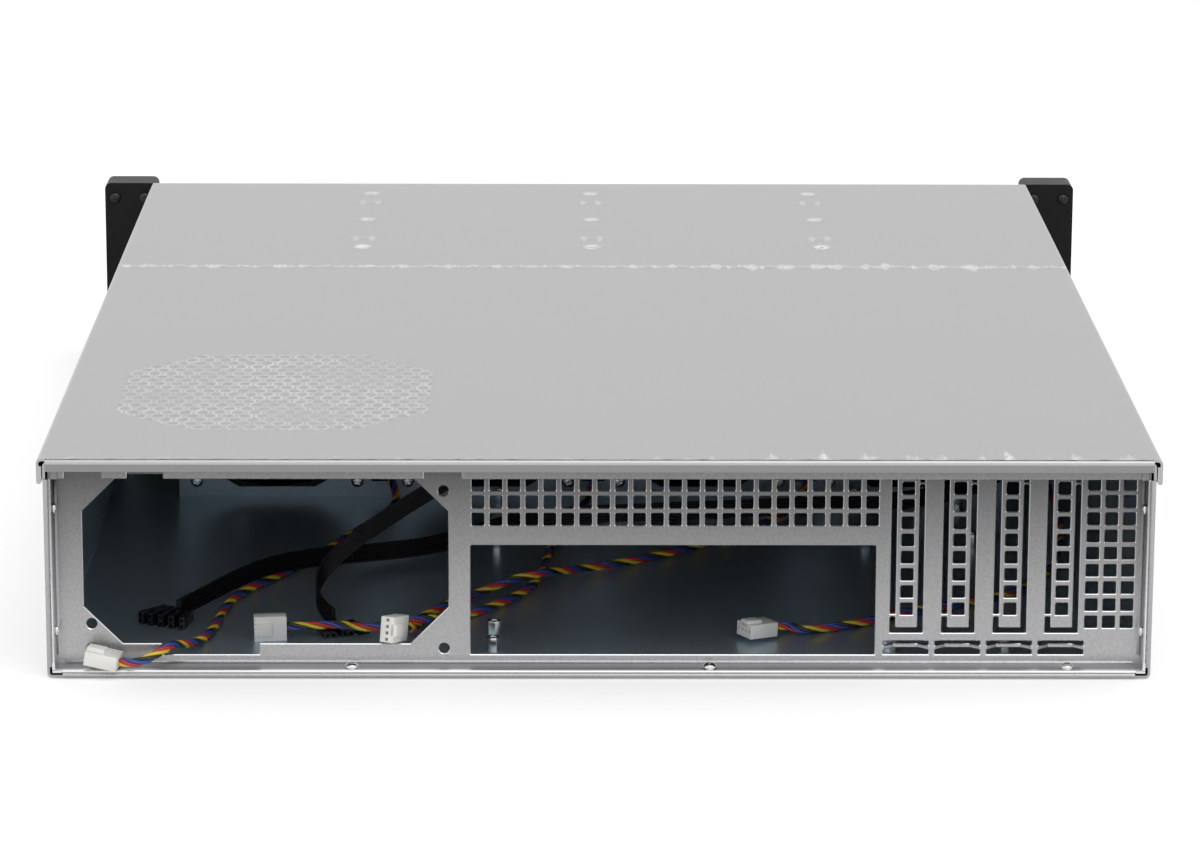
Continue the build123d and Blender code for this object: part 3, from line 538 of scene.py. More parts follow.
@dataclass(frozen=True)
class VentFilm:
    """Clear film, with dimples over a vent or blisters over rivets, and pale creases at its edges; painted highlights
    ring the dimples and mark the blisters, and painted shade darkens the dimples.

    The busy stretches are where creases begin, are full, fade and end, in millimetres across.
    """

    name: str
    vent: Vent | None = None
    tint: Triple = (0.50, 0.50, 0.505)
    pale: Triple = (0.86, 0.86, 0.87)
    veil: float = 0.80
    busy_seam: tuple[float, float, float, float] = (20.0, 60.0, 190.0, 212.0)
    busy_edge: tuple[float, float, float, float] = (20.0, 60.0, 195.0, 212.0)
    seam_sway: float = 14.0
    seam_blob: float = 9.0
    tuft: float = 17.0
    outer_column: float = 140.0

    def dimples(self, across: Term, depth: Term) -> tuple[Term, Term]:
        """Finds how far each spot is from the nearest vent hole.

        Args:
            across: Millimetres across.
            depth: Millimetres forward of the rear edge.

        Returns:
            The distance in millimetres, and 1 inside the vent's outline.
        """
        vent = self.vent
        u = across - vent.middle[0]
        v = depth - vent.middle[1]
        near = []
        for i in (0.0, 0.5):
            a = u - i * vent.pitch
            b = v - i * 2 * vent.row
            a = a - (a / vent.pitch).maths("ROUND") * vent.pitch
            b = b - (b / (2 * vent.row)).maths("ROUND") * (2 * vent.row)
            near.append((a * a + b * b).maths("SQRT"))
        inside = (abs(u) < vent.reach[0]) * (abs(v) < vent.reach[1]) * (abs(u) + abs(v) < vent.corner)
        return near[0].maths("MINIMUM", near[1]), inside

    def creases(self, shader: Shader, across: Term, depth: Term) -> Term:
        """Finds the pale creases at the seam and along the rear edge.

        Args:
            shader: The material being built.
            across: Millimetres across.
            depth: Millimetres forward of the rear edge.

        Returns:
            1 on a crease.
        """
        lengthways = (1.0, 0.0, 0.0)
        swell = shader.noise(130.0, 2.0, lengthways).ramp(0.42, 0.64)
        side = (shader.noise(70.0, 1.0, lengthways) - 0.5) * self.seam_sway
        busy = 0.55 + 0.45 * across.band(*self.busy_seam)
        off = abs(depth - SEAM_DEPTH - side * swell * busy)
        blobs = (1.0 - (off / (0.4 + swell * busy * self.seam_blob)).ramp(0.35, 1.0)) * swell.ramp(0.05, 0.4)
        line = 1.0 - abs(depth - SEAM_DEPTH).ramp(0.5, 1.3)
        torn = shader.noise(420.0, 3.0, (1.0, 0.5, 0.0)).ramp(0.34, 0.58)
        seam = (blobs * (0.45 + torn * 0.55)).larger(line * 0.6)
        tufts = shader.noise(110.0, 3.0, lengthways).ramp(0.48, 0.66)
        thick = 0.35 + 0.65 * across.band(*self.busy_edge)
        edge = 1.0 - (depth / (0.6 + tufts * thick * self.tuft)).ramp(0.5, 1.0)
        return (seam * 0.8).larger(edge * tufts * thick * (0.35 + torn * 0.65))

    def blister_marks(self, shader: Shader, across: Term, depth: Term) -> Term:
        """Finds the painted highlights: bright marks painted where the film stands off over rivets and tabs.

        Args:
            shader: The material being built.
            across: Millimetres across.
            depth: Millimetres forward of the rear edge.

        Returns:
            1 on a painted highlight.
        """
        column = abs(across - (across / BAY_PITCH).maths("ROUND") * BAY_PITCH)
        column = column + (abs(across) > self.outer_column) * 50.0
        marks: Term | None = None
        for middle, side, wide, long, bright in BLISTERS:
            aside, along = (column - side) / wide, (depth - middle) / long
            spot = (1.0 - (aside * aside + along * along).ramp(0.3, 1.0)) * bright
            marks = spot if marks is None else marks.larger(spot)
        return marks * shader.noise(330.0, 2.0).ramp(0.25, 0.5)

    def make(self) -> Finish:
        """Builds the material."""
        shader = Shader(self.name)
        x, y, _ = shader.position()
        across, depth = x * (-1 / MM), depth_at(y)
        streak = shader.noise(150.0, 3.0, (1.0, 0.55, 1.0))
        scratch = shader.noise(38.0, 4.0, (1.0, 0.35, 1.0)).ramp(0.755, 0.78)
        pale = self.creases(shader, across, depth).larger(scratch * 0.5)
        height = streak * 0.3 + pale * 0.3
        if self.vent:
            gap, inside = self.dimples(across, depth)
            bowl = 1.0 - gap.ramp(1.2, self.vent.hole / 2 + 0.4)
            height = height - bowl * inside
            patches = 0.45 + 0.55 * shader.noise(26.0, 3.0, (1.0, 1.0, 0.0)).ramp(0.36, 0.62)
            # Painted highlight: a pale broken ring around each dimple where the film sags into a vent hole
            rim = gap.band(1.9, 2.6, 2.8, 3.5) * inside
            broken = shader.noise(240.0, 3.0, (1.0, 0.4, 0.0)).ramp(0.36, 0.60)
            pale = pale.larger(rim * patches * (0.30 + 0.70 * broken) * 0.85)
        else:
            # Painted highlights where the film stands off over rivets and tabs
            pale = pale.larger(self.blister_marks(shader, across, depth))
        tint = shader.mix(pale, rgb(self.tint), rgb(self.pale))
        # Painted shade: the film darkens in each dimple over a vent hole
        if self.vent:
            tint = shader.scaled(tint, 1.0 - bowl * inside * patches * 0.20)
        veil = (pale * 0.2 + self.veil).maths("MINIMUM", 1.0)
        bump = shader.relief(height, 0.0006, 0.55)
        rough = 0.30 + pale * 0.2
        metal = 0.9 - pale * 0.6
        return shader.finish(
            Base_Color=tint, Metallic=metal, Roughness=rough, Alpha=veil, Normal=bump, Coat_Weight=0.2)


@dataclass(frozen=True)
class Moulded:
    """Moulded plastic with a fine pebble."""

    name: str
    tint: Triple
    roughness: float = 0.45
    pebble: float = 2600.0
    depth: float = 0.00004
    shine: float = 0.5

    def make(self) -> Finish:
        """Builds the material."""
        shader = Shader(self.name)
        grain = shader.noise(self.pebble, 2.0)
        cloud = shader.noise(60.0, 2.0)
        rough = self.roughness + (cloud - 0.5) * 0.15 + (grain - 0.5) * 0.12
        tint = shader.mix(cloud.ramp(0.3, 0.7), rgb(self.tint, 0.92), rgb(self.tint, 1.08))
        return shader.finish(Base_Color=tint, Roughness=rough, Normal=shader.relief(grain, self.depth, 0.6),
                             Specular_IOR_Level=self.shine)


@dataclass(frozen=True)
class Polished:
    """Bright plated metal with faint rubbed marks."""

    name: str
    tint: Triple = (0.78, 0.78, 0.78)
    roughness: float = 0.2

    def make(self) -> Finish:
        """Builds the material."""
        shader = Shader(self.name)
        rub = shader.noise(1500.0, 3.0)
        rough = self.roughness + (rub - 0.5) * 0.2
        tint = shader.mix(rub, rgb(self.tint, 0.93), rgb(self.tint))
        bump = shader.relief(rub, 0.00001, 0.4)
        return shader.finish(Base_Color=tint, Metallic=1.0, Roughness=rough, Normal=bump)


STRAND_COLOUR = "strand_colour"
STRAND_COLOURS = ((0.006, 0.006, 0.008), (0.88, 0.66, 0.03), (0.58, 0.01, 0.02), (0.015, 0.07, 0.40))


@dataclass(frozen=True)
class WireJacket:
    """Glossy wire jacket in the colour that each strand carries."""

    name: str
    roughness: float = 0.35
    dust: Triple = (0.35, 0.34, 0.33)

    def make(self) -> Finish:
        """Builds the material."""
        shader = Shader(self.name)
        colour = shader.node("Attribute", {"attribute_name": STRAND_COLOUR}).outputs["Color"]
        dust = shader.noise(900.0, 2.0)
        tint = shader.mix(dust * 0.12, Term(shader, colour), rgb(self.dust))
        rough = self.roughness + (dust - 0.5) * 0.2
        return shader.finish(Base_Color=tint, Roughness=rough, Coat_Weight=0.2)


@dataclass(frozen=True)
class BoardLacquer:
    """Green lacquer with tracks that show through as a faint relief."""

    name: str
    tint: Triple = (0.015, 0.09, 0.045)

    def make(self) -> Finish:
        """Builds the material."""
        shader = Shader(self.name)
        x, _, z = shader.position()
        track = (x * 900.0).maths("SINE") * (z * 1100.0).maths("SINE")
        line = track.ramp(0.25, 0.4)
        tint = shader.mix(line, rgb(self.tint), rgb(self.tint, 1.6))
        rough = 0.3 + shader.noise(200.0) * 0.12
        return shader.finish(Base_Color=tint, Roughness=rough, Normal=shader.relief(line, 0.00003, 0.5))


# Making and shaping meshes


def deselect() -> None:
    """Leaves nothing selected, so that an operator acts on one piece only."""
    if bpy.context.object and bpy.context.object.mode != "OBJECT":
        bpy.ops.object.mode_set(mode="OBJECT")
    bpy.ops.object.select_all(action="DESELECT")


def pick(piece: Piece) -> None:
    """Selects one piece alone and makes it active."""
    deselect()
    piece.select_set(True)
    bpy.context.view_layer.objects.active = piece


def settle(piece: Piece) -> Piece:
    """Puts a piece's place, turn and scale into its mesh."""
    pick(piece)
    bpy.ops.object.transform_apply(location=True, rotation=True, scale=True)
    return piece


def named(name: str) -> Piece:
    """Names the piece that an operator has just added."""
    piece = bpy.context.object
    piece.name = name
    piece.data.name = name
    return piece


def box(name: str, middle: Sequence[float], size: Sequence[float], turn: float = 0.0) -> Piece:
    """Makes a block from its middle and its size in metres, turned about Z."""
    bpy.ops.mesh.primitive_cube_add(size=1, location=middle, rotation=(0, 0, turn))
    block = named(name)
    block.scale = size
    return settle(block)


def rod(name: str, sides: int, radius: float, length: float, height: float = 0.0) -> Piece:
    """Makes an upright rod in millimetres, with its middle at a height above the origin."""
    bpy.ops.mesh.primitive_cylinder_add(
        vertices=sides, radius=radius * MM, depth=length * MM, location=mm(0, 0, height))
    return settle(named(name))


def apply_modifier(piece: Piece, kind: str, **settings: object) -> None:
    """Adds a modifier with its settings and applies it."""
    pick(piece)
    modifier = piece.modifiers.new(kind.title(), kind)
    for name, value in settings.items():
        setattr(modifier, name, value)
    bpy.ops.object.modifier_apply(modifier=modifier.name)


def soften(piece: Piece, width: float, segments: int = 2) -> None:
    """Rounds a piece's sharp edges and shades it smoothly."""
    apply_modifier(piece, "BEVEL", width=width, segments=segments, limit_method="ANGLE", angle_limit=0.6)
    pick(piece)
    bpy.ops.object.shade_smooth_by_angle(angle=math.radians(40))


def cut(piece: Piece, tool: Piece) -> None:
    """Takes a tool's shape out of a piece and removes the tool."""
    apply_modifier(piece, "BOOLEAN", operation="DIFFERENCE", solver="EXACT", object=tool)
    bpy.data.objects.remove(tool)


def join(pieces: Sequence[Piece], name: str) -> Piece:
    """Joins pieces into one object with this name."""
    deselect()
    for piece in pieces:
        piece.select_set(True)
    bpy.context.view_layer.objects.active = pieces[0]
    if len(pieces) > 1:
        bpy.ops.object.join()
    return named(name)


def twin(pattern: Piece, move: Matrix) -> Piece:
    """Copies a pattern with a mesh of its own, and moves that mesh."""
    piece = pattern.copy()
    piece.data = pattern.data.copy()
    bpy.context.collection.objects.link(piece)
    piece.data.transform(move)
    return piece


def copy_at(pattern: Piece, spot: Vector, away: Vector, spin: float = 0.0) -> Piece:
    """Copies a pattern that stands on XY to a place, standing away from it.

    Args:
        pattern: The finished pattern, at the origin.
        spot: Where its origin goes.
        away: Where its +Z points.
        spin: Its turn about that direction, in radians.

    Returns:
        The copy, with its place in its own mesh.
    """
    turn = away.to_track_quat("Z", "Y").to_matrix().to_4x4()
    return twin(pattern, Matrix.Translation(spot) @ turn @ Matrix.Rotation(spin, 4, "Z"))


def dress(piece: Piece, material: Finish) -> Piece:
    """Gives a piece one material."""
    piece.data.materials.clear()
    piece.data.materials.append(material)
    return piece


def merged_copy(node: str, name: str) -> Piece:
    """Copies a CAD node's mesh into a piece of its own, with its doubles merged."""
    piece = bpy.data.objects.new(name, bpy.data.objects[node].data.copy())
    bpy.context.collection.objects.link(piece)
    mesh = bmesh.new()
    mesh.from_mesh(piece.data)
    bmesh.ops.remove_doubles(mesh, verts=mesh.verts, dist=DOUBLES)
    mesh.to_mesh(piece.data)
    mesh.free()
    return piece


# Cover and films


@dataclass
class VentedCover:
    """The cover sheet with its vent holes, and the films over it and over the front panel."""

    steel: Finish
    film: Finish
    plain_film: Finish
    inset: float = 1.0
    overlap: float = 0.9
    split: float = 0.05
    stand_off: float = 0.12
    grain: float = 2.0

    def sheet(self) -> Piece:
        """Pierces a copy of the CAD cover and lets it stand for the node."""
        cover = merged_copy("top_cover", "cover_sheet")
        punch = rod("vent_punch", 12, VENT.hole / 2, 6)
        tools = [copy_at(punch, place(across, depth, COVER_TOP), UP) for across, depth in VENT.centres()]
        bpy.data.objects.remove(punch)
        cut(cover, join(tools, "vent_punches"))
        dress(cover, self.steel)
        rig.replaces(cover, "top_cover")
        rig.slot(cover, "cover_steel")
        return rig.ride(cover, Body.COVER.value)

    def bubbles(self) -> list[tuple[float, float, float, float]]:
        """Gives the film's small blisters: across, deep, radius and height."""
        found = []
        for column in (-BAY_PITCH, 0.0, BAY_PITCH):
            for depth, side, *_ in BLISTERS:
                if side:
                    found += [(column + aside, depth, 2.4, 0.4) for aside in (-3.5, 3.5)]
                else:
                    found.append((column, depth, 3.6, 0.55))
        return found

    def film_sheet(self, name: str, near: float, far: float, body: Body, node: str,
                   material: Finish) -> Piece:
        """Lays one thin film with blisters and creases.

        Args:
            name: The piece's name.
            near: Depth of its rear edge.
            far: Depth of its front edge.
            body: What it rides on.
            node: The CAD node it stands for.
            material: Its finish.

        Returns:
            The film.
        """
        width, length = 2 * (COVER_HALF - self.inset), far - near
        columns, rows = int(width / self.grain), int(length / self.grain)
        middle = place(0, (near + far) / 2, COVER_TOP + self.stand_off)
        bpy.ops.mesh.primitive_grid_add(x_subdivisions=columns, y_subdivisions=rows, size=1, location=middle)
        film = named(name)
        film.scale = (width * MM, length * MM, 1)
        settle(film)
        blisters = self.bubbles()
        for vertex in film.data.vertices:
            across, depth = -vertex.co.x / MM, REAR_EDGE - vertex.co.y / MM
            vertex.co.z += self.rise(across, depth, blisters) * MM
        bpy.ops.object.shade_smooth()
        dress(film, material)
        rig.replaces(film, node)
        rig.slot(film, "film")
        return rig.ride(film, body.value)

    def rise(self, across: float, depth: float, blisters: list[tuple[float, float, float, float]]) -> float:
        """Gives how far the film stands off the sheet at one place, in millimetres."""
        height = 0.0
        for u, d, radius, top in blisters:
            reach = ((across - u) ** 2 + (depth - d) ** 2) / radius ** 2
            if reach < 4.0:
                height += top * math.exp(-reach)
        ripple = math.sin(across * 0.55 + 1.7 * math.sin(across * 0.11)) + 0.6 * math.sin(across * 0.93 + 2.0)
        seam = math.exp(-((depth - SEAM_DEPTH) / 3.2) ** 2)
        edge = math.exp(-((depth - 3.0) / 2.4) ** 2)
        height += max(0.0, ripple) * (0.34 * seam + 0.22 * edge)
        height += 0.03 * math.sin(across * 0.05 + depth * 0.031) ** 2
        return min(height, 1.4)

    def build(self) -> list[Piece]:
        """Makes the pierced cover and both films."""
        seam, front = SEAM_DEPTH + self.overlap, BODY_DEPTH - self.inset
        return [
            self.sheet(),
            self.film_sheet("film_over_cover", self.inset, seam, Body.COVER, "cover_film", self.film),
            self.film_sheet(
                "film_over_front", seam + self.split, front, Body.CHASSIS, "front_film", self.plain_film),
        ]


@dataclass
class PiercedPanel:
    """The rear panel with cut edges brightened by a painted highlight, and with its corners closed."""

    steel: Finish
    edges: Finish
    edge_width: float = 0.3
    wall: float = 213.1
    half: float = 211.0
    floor: float = 2.0
    flange: float = 3.0
    low: float = 6.2
    lip_bottom: float = 80.0
    lip_top: float = 86.9
    front: float = 12.6
    back: float = 11.6

    def corner(self, side: int) -> list[Piece]:
        """Makes the ends of the foot flange and the side flange at one corner.

        Args:
            side: -1 or 1, as seen from the rear.

        Returns:
            The small plates.
        """
        edge, wall, low = self.wall + 0.5, self.wall - 0.5, self.flange - 0.2
        plates = [
            ((self.half - 1.0, edge), (0.6, self.front), (self.floor, self.flange)),
            ((wall, edge), (0.6, self.front), (low, self.low)),
            ((self.half - 2.0, edge), (self.back + 0.02, self.front - 0.02), (low, self.low + 0.8)),
            ((wall, edge), (1.2, self.front), (self.lip_bottom - 0.2, self.lip_top)),
            ((self.half - 1.0, edge), (1.2, 2.2), (self.lip_bottom, self.lip_top)),
        ]
        made = []
        for (near, far), (rear, fore), (bottom, top) in plates:
            middle = place(side * (near + far) / 2, (rear + fore) / 2, (bottom + top) / 2)
            made.append(box("corner_plate", middle, mm(far - near, fore - rear, top - bottom)))
        return made

    def build(self) -> list[Piece]:
        """Makes the panel that stands for the CAD node."""
        panel = merged_copy("rear_panel", "pierced_panel")
        dress(panel, self.steel)
        # The bevelled cut edges take the second finish, a painted highlight
        panel.data.materials.append(self.edges)
        apply_modifier(panel, "BEVEL", width=self.edge_width * MM, segments=1, limit_method="ANGLE",
                       angle_limit=0.9, use_clamp_overlap=False, loop_slide=False, material=1)
        corners = self.corner(-1) + self.corner(1)
        for plate in corners:
            dress(plate, self.steel)
        panel = join([panel, *corners], "pierced_panel")
        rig.replaces(panel, "rear_panel")
        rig.slot(panel, "steel")
        return [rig.ride(panel, Body.CHASSIS.value)]


# Cables


Stations = tuple[list[Vector], list[Vector], list[float]]


@dataclass
class Route:
    """A cable's way, as points across, deep and high in millimetres."""

    name: str
    points: list[Triple]
    length: float

    def line(self) -> list[Vector]:
        """Follows the smooth line of the route's points.

        Returns:
            Points along it, in metres.
        """
        curve = bpy.data.curves.new(self.name + "_route", "CURVE")
        curve.dimensions = "3D"
        curve.resolution_u = 10
        spline = curve.splines.new("NURBS")
        spline.points.add(len(self.points) - 1)
        for point, spot in zip(spline.points, self.points):
            point.co = (*place(*spot), 1.0)
        spline.order_u = 3
        spline.use_endpoint_u = True
        holder = bpy.data.objects.new(self.name + "_route", curve)
        bpy.context.collection.objects.link(holder)
        bpy.context.view_layer.update()
        mesh = bpy.data.meshes.new_from_object(holder)
        found = [vertex.co.copy() for vertex in mesh.vertices]
        bpy.data.objects.remove(holder)
        bpy.data.meshes.remove(mesh)
        return found

    def stations(self, step: float) -> Stations:
        """Walks the line in even steps.

        Args:
            step: The step in metres.

        Returns:
            The stations, the directions there, and how far along each one is.
        """
        line = self.line()
        runs = [(b - a).length for a, b in zip(line, line[1:])]
        total = sum(runs)
        count = max(8, int(total / step))
        spots, ways, marks = [], [], []
        i, passed = 0, 0.0
        for k in range(count + 1):
            want = total * k / count
            while i < len(runs) - 1 and passed + runs[i] < want:
                passed += runs[i]
                i += 1
            way = (line[i + 1] - line[i]).normalized()
            spots.append(line[i] + way * min(want - passed, runs[i]))
            ways.append(way)
            marks.append(want)
        smooth = [
            (ways[max(0, k - 1)] + ways[k] + ways[min(count, k + 1)]).normalized() for k in range(count + 1)
        ]
        return spots, smooth, marks


def tube(rings: list[list[Vector]]) -> bmesh.types.BMesh:
    """Skins a row of closed rings with the same count of points, and closes both ends."""
    mesh = bmesh.new()
    rows = [[mesh.verts.new(point) for point in ring] for ring in rings]
    size = len(rings[0])
    for one, two in zip(rows, rows[1:]):
        for i in range(size):
            mesh.faces.new((one[i], one[(i + 1) % size], two[(i + 1) % size], two[i]))
    mesh.faces.new(list(reversed(rows[0])))
    mesh.faces.new(rows[-1])
    return mesh


def mesh_piece(name: str, mesh: bmesh.types.BMesh) -> Piece:
    """Turns a built mesh into a piece with smooth faces that point outwards."""
    bmesh.ops.recalc_face_normals(mesh, faces=mesh.faces)
    for face in mesh.faces:
        face.smooth = True
    data = bpy.data.meshes.new(name)
    mesh.to_mesh(data)
    mesh.free()
    piece = bpy.data.objects.new(name, data)
    bpy.context.collection.objects.link(piece)
    return piece


@dataclass
class FanCable:
    """Four twisted wires from a fan to its connector."""

    route: Route
    jacket: Finish
    connector: Piece
    wire: float = 1.5
    twist: float = 19.0
    phase: float = 0.0
    sides: int = 8
    step: float = 1.4

    def strand(self, number: int, stations: Stations) -> Piece:
        """Makes one wire of the twist.

        Args:
            number: Which of the four wires.
            stations: The route's stations, directions and marks.

        Returns:
            The wire with its colour.
        """
        radius = self.wire / 2 * MM
        offset = radius * math.sqrt(2)
        spots, ways, marks = stations
        side = ways[0].cross(UP).normalized()
        middles = []
        for spot, way, mark in zip(spots, ways, marks):
            side = (side - way * side.dot(way)).normalized()
            angle = self.phase + math.tau * (number / len(STRAND_COLOURS) + mark / (self.twist * MM))
            arm = side * math.cos(angle) + way.cross(side) * math.sin(angle)
            middles.append(spot + arm * offset)
        rings = []
        for k, middle in enumerate(middles):
            way = (middles[min(k + 1, len(middles) - 1)] - middles[max(k - 1, 0)]).normalized()
            flat = way.cross(LEANING).normalized()
            up = way.cross(flat)
            ring = []
            for i in range(self.sides):
                turn = math.tau * i / self.sides
                ring.append(middle + (flat * math.cos(turn) + up * math.sin(turn)) * radius)
            rings.append(ring)
        wire = mesh_piece(f"{self.route.name}_strand_{number}", tube(rings))
        colours = wire.data.attributes.new(STRAND_COLOUR, "FLOAT_COLOR", "POINT")
        for item in colours.data:
            item.color = rgb(STRAND_COLOURS[number])
        return wire

    def build(self) -> Piece:
        stations = self.route.stations(self.step * MM)
        cable = join([self.strand(i, stations) for i in range(len(STRAND_COLOURS))], self.route.name)
        dress(cable, self.jacket)
        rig.replaces(cable, self.route.name)
        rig.slot(cable, "wire")
        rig.ride(cable, Body.CHASSIS.value)
        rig.cord(cable, exit=stations[0][0], length=self.route.length * MM, diameter=0.0036,
                far_end="connector", stiffness="limp", lay="loose", path=stations[0],
                with_pieces=[self.connector])
        return cable


@dataclass
class RibbonCable:
    """A flat black cable of wires side by side, set on edge."""

    route: Route
    jacket: Finish
    plugs: list[Piece]
    width: float = 8.0
    wires: int = 6
    arcs: int = 5
    groove: float = 0.12
    press: float = 0.98
    step: float = 3.0

    def section(self) -> list[tuple[float, float]]:
        """Gives the outline of the wires side by side, along and across the flat side."""
        pitch = self.width / self.wires
        radius = pitch / 2
        upper, lower = [], []
        for i in range(self.wires):
            middle = (i - (self.wires - 1) / 2) * pitch
            for j in range(self.arcs):
                angle = math.pi * (self.groove + (1 - 2 * self.groove) * j / (self.arcs - 1))
                along = middle - math.cos(angle) * radius * self.press
                upper.append((along, math.sin(angle) * radius))
                lower.append((along, -math.sin(angle) * radius))
        return upper + list(reversed(lower))

    def build(self) -> Piece:
        spots, ways, _ = self.route.stations(self.step * MM)
        outline = self.section()
        rings = []
        for spot, way in zip(spots, ways):
            up = (UP - way * way.z).normalized()
            side = way.cross(up)
            rings.append([spot + (up * a + side * b) * MM for a, b in outline])
        cable = mesh_piece(self.route.name, tube(rings))
        dress(cable, self.jacket)
        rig.replaces(cable, self.route.name)
        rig.slot(cable, "ribbon")
        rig.ride(cable, Body.CHASSIS.value)
        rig.cord(cable, exit=spots[0], length=self.route.length * MM, diameter=self.width * MM,
                far_end="connector", stiffness="medium", lay="loose", path=spots, with_pieces=self.plugs)
        return cable


@dataclass
class Connector:
    """An ivory housing with four sockets, a locking rib and contact windows."""

    plastic: Finish
    length: float = 13.0
    width: float = 10.2
    thickness: float = 5.8
    pitch: float = 2.54
    hole: Triple = (1.3, 1.3, 7.0)
    window: Triple = (1.0, 1.2, 2.4)
    window_height: float = 3.1
    rib: Triple = (5.0, 2.4, 7.0)

    def pattern(self) -> Piece:
        """Models one housing that stands on XY, its sockets at the top."""
        body = box("connector_body", mm(0, 0, self.length / 2), mm(self.width, self.thickness, self.length))
        tools = []
        for i in (-1.5, -0.5, 0.5, 1.5):
            x = i * self.pitch
            tools.append(box("socket_hole", mm(x, 0, self.length), mm(*self.hole)))
            window = mm(x, self.thickness / 2, self.window_height)
            tools.append(box("contact_window", window, mm(*self.window)))
        soften(body, 0.25 * MM)
        cut(body, join(tools, "connector_cuts"))
        rib = box("connector_rib", mm(0, -self.thickness / 2, self.length - self.rib[2] / 2), mm(*self.rib))
        soften(rib, 0.2 * MM)
        whole = join([body, rib], "connector_pattern")
        return dress(whole, self.plastic)

    def build(self, routes: Sequence[Route], rolls: Sequence[float]) -> list[Piece]:
        """Sets one housing beyond the end of each route, turned about it."""
        pattern = self.pattern()
        made = []
        for number, (route, roll) in enumerate(zip(routes, rolls), 1):
            before, end = place(*route.points[-2]), place(*route.points[-1])
            away = (end - before).normalized()
            level = away.cross(UP).normalized()
            turn = Matrix((level, away.cross(level), away)).transposed().to_4x4()
            spin = Matrix.Rotation(math.radians(roll), 4, "Z")
            piece = twin(pattern, Matrix.Translation(end) @ turn @ spin)
            piece.name = f"fan_connector_{number}"
            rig.replaces(piece, "fan_connectors")
            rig.slot(piece, "white_plastic")
            made.append(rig.ride(piece, Body.CHASSIS.value))
        bpy.data.objects.remove(pattern)
        return made


@dataclass
class HeaderPlugs:
    """Small glossy plugs fanned out from a ribbon's end."""

    plastic: Finish
    length: float = 14.0
    wide: float = 5.2
    tall: float = 2.6
    gap: float = 0.3
    spread: float = 8.0
    floor: float = 1.0
    hole: Triple = (1.1, 1.1, 6.0)
    window: Triple = (1.0, 1.0, 2.6)
    window_height: float = 6.0

    def pattern(self, wide: float, tall: float) -> Piece:
        """Models one plug that stands on XY, its sockets at the top.

        Args:
            wide: Its size along Y.
            tall: Its size along X.

        Returns:
            The plug.
        """
        plug = box("plug_body", mm(0, 0, self.length / 2), mm(tall, wide, self.length))
        soften(plug, 0.3 * MM)
        tools = []
        for step in (-1, 1):
            side = step * max(wide, tall) / 4
            x, y = (0.0, side) if wide > tall else (side, 0.0)
            tools.append(box("plug_socket", mm(x, y, self.length), mm(*self.hole)))
            x, y = (tall / 2, side) if wide > tall else (side, wide / 2)
            tools.append(box("plug_window", mm(x, y, self.window_height), mm(*self.window)))
        cut(plug, join(tools, "plug_cuts"))
        return dress(plug, self.plastic)

    def build(self, route: Route, count: int, on_edge: bool) -> Piece:
        """Fans the plugs out on the floor.

        Args:
            route: The ribbon's route.
            count: How many plugs there are.
            on_edge: Whether they stand on their narrow sides.

        Returns:
            The joined plugs.
        """
        wide, tall = (self.tall, self.wide) if on_edge else (self.wide, self.tall)
        pattern = self.pattern(wide, tall)
        across, deep, _ = route.points[-1]
        end = place(across, deep, self.floor)
        before = place(*route.points[-2])
        away = Vector((end.x - before.x, end.y - before.y, 0)).normalized()
        turn = Matrix((UP, away.cross(UP), away)).transposed().to_4x4()
        lift = Matrix.Translation(mm(tall / 2, 0, 0))
        made = []
        for i in range(count):
            step = i - (count - 1) / 2
            aside = Matrix.Translation(mm(0, -step * (wide + self.gap), 0))
            fan = Matrix.Rotation(math.radians(step * self.spread), 4, "X")
            made.append(twin(pattern, Matrix.Translation(end) @ turn @ aside @ fan @ lift))
        bpy.data.objects.remove(pattern)
        plugs = join(made, route.name + "_plugs")
        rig.replaces(plugs, "header_plugs")
        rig.slot(plugs, "black_plastic")
        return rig.ride(plugs, Body.CHASSIS.value)


# Fasteners


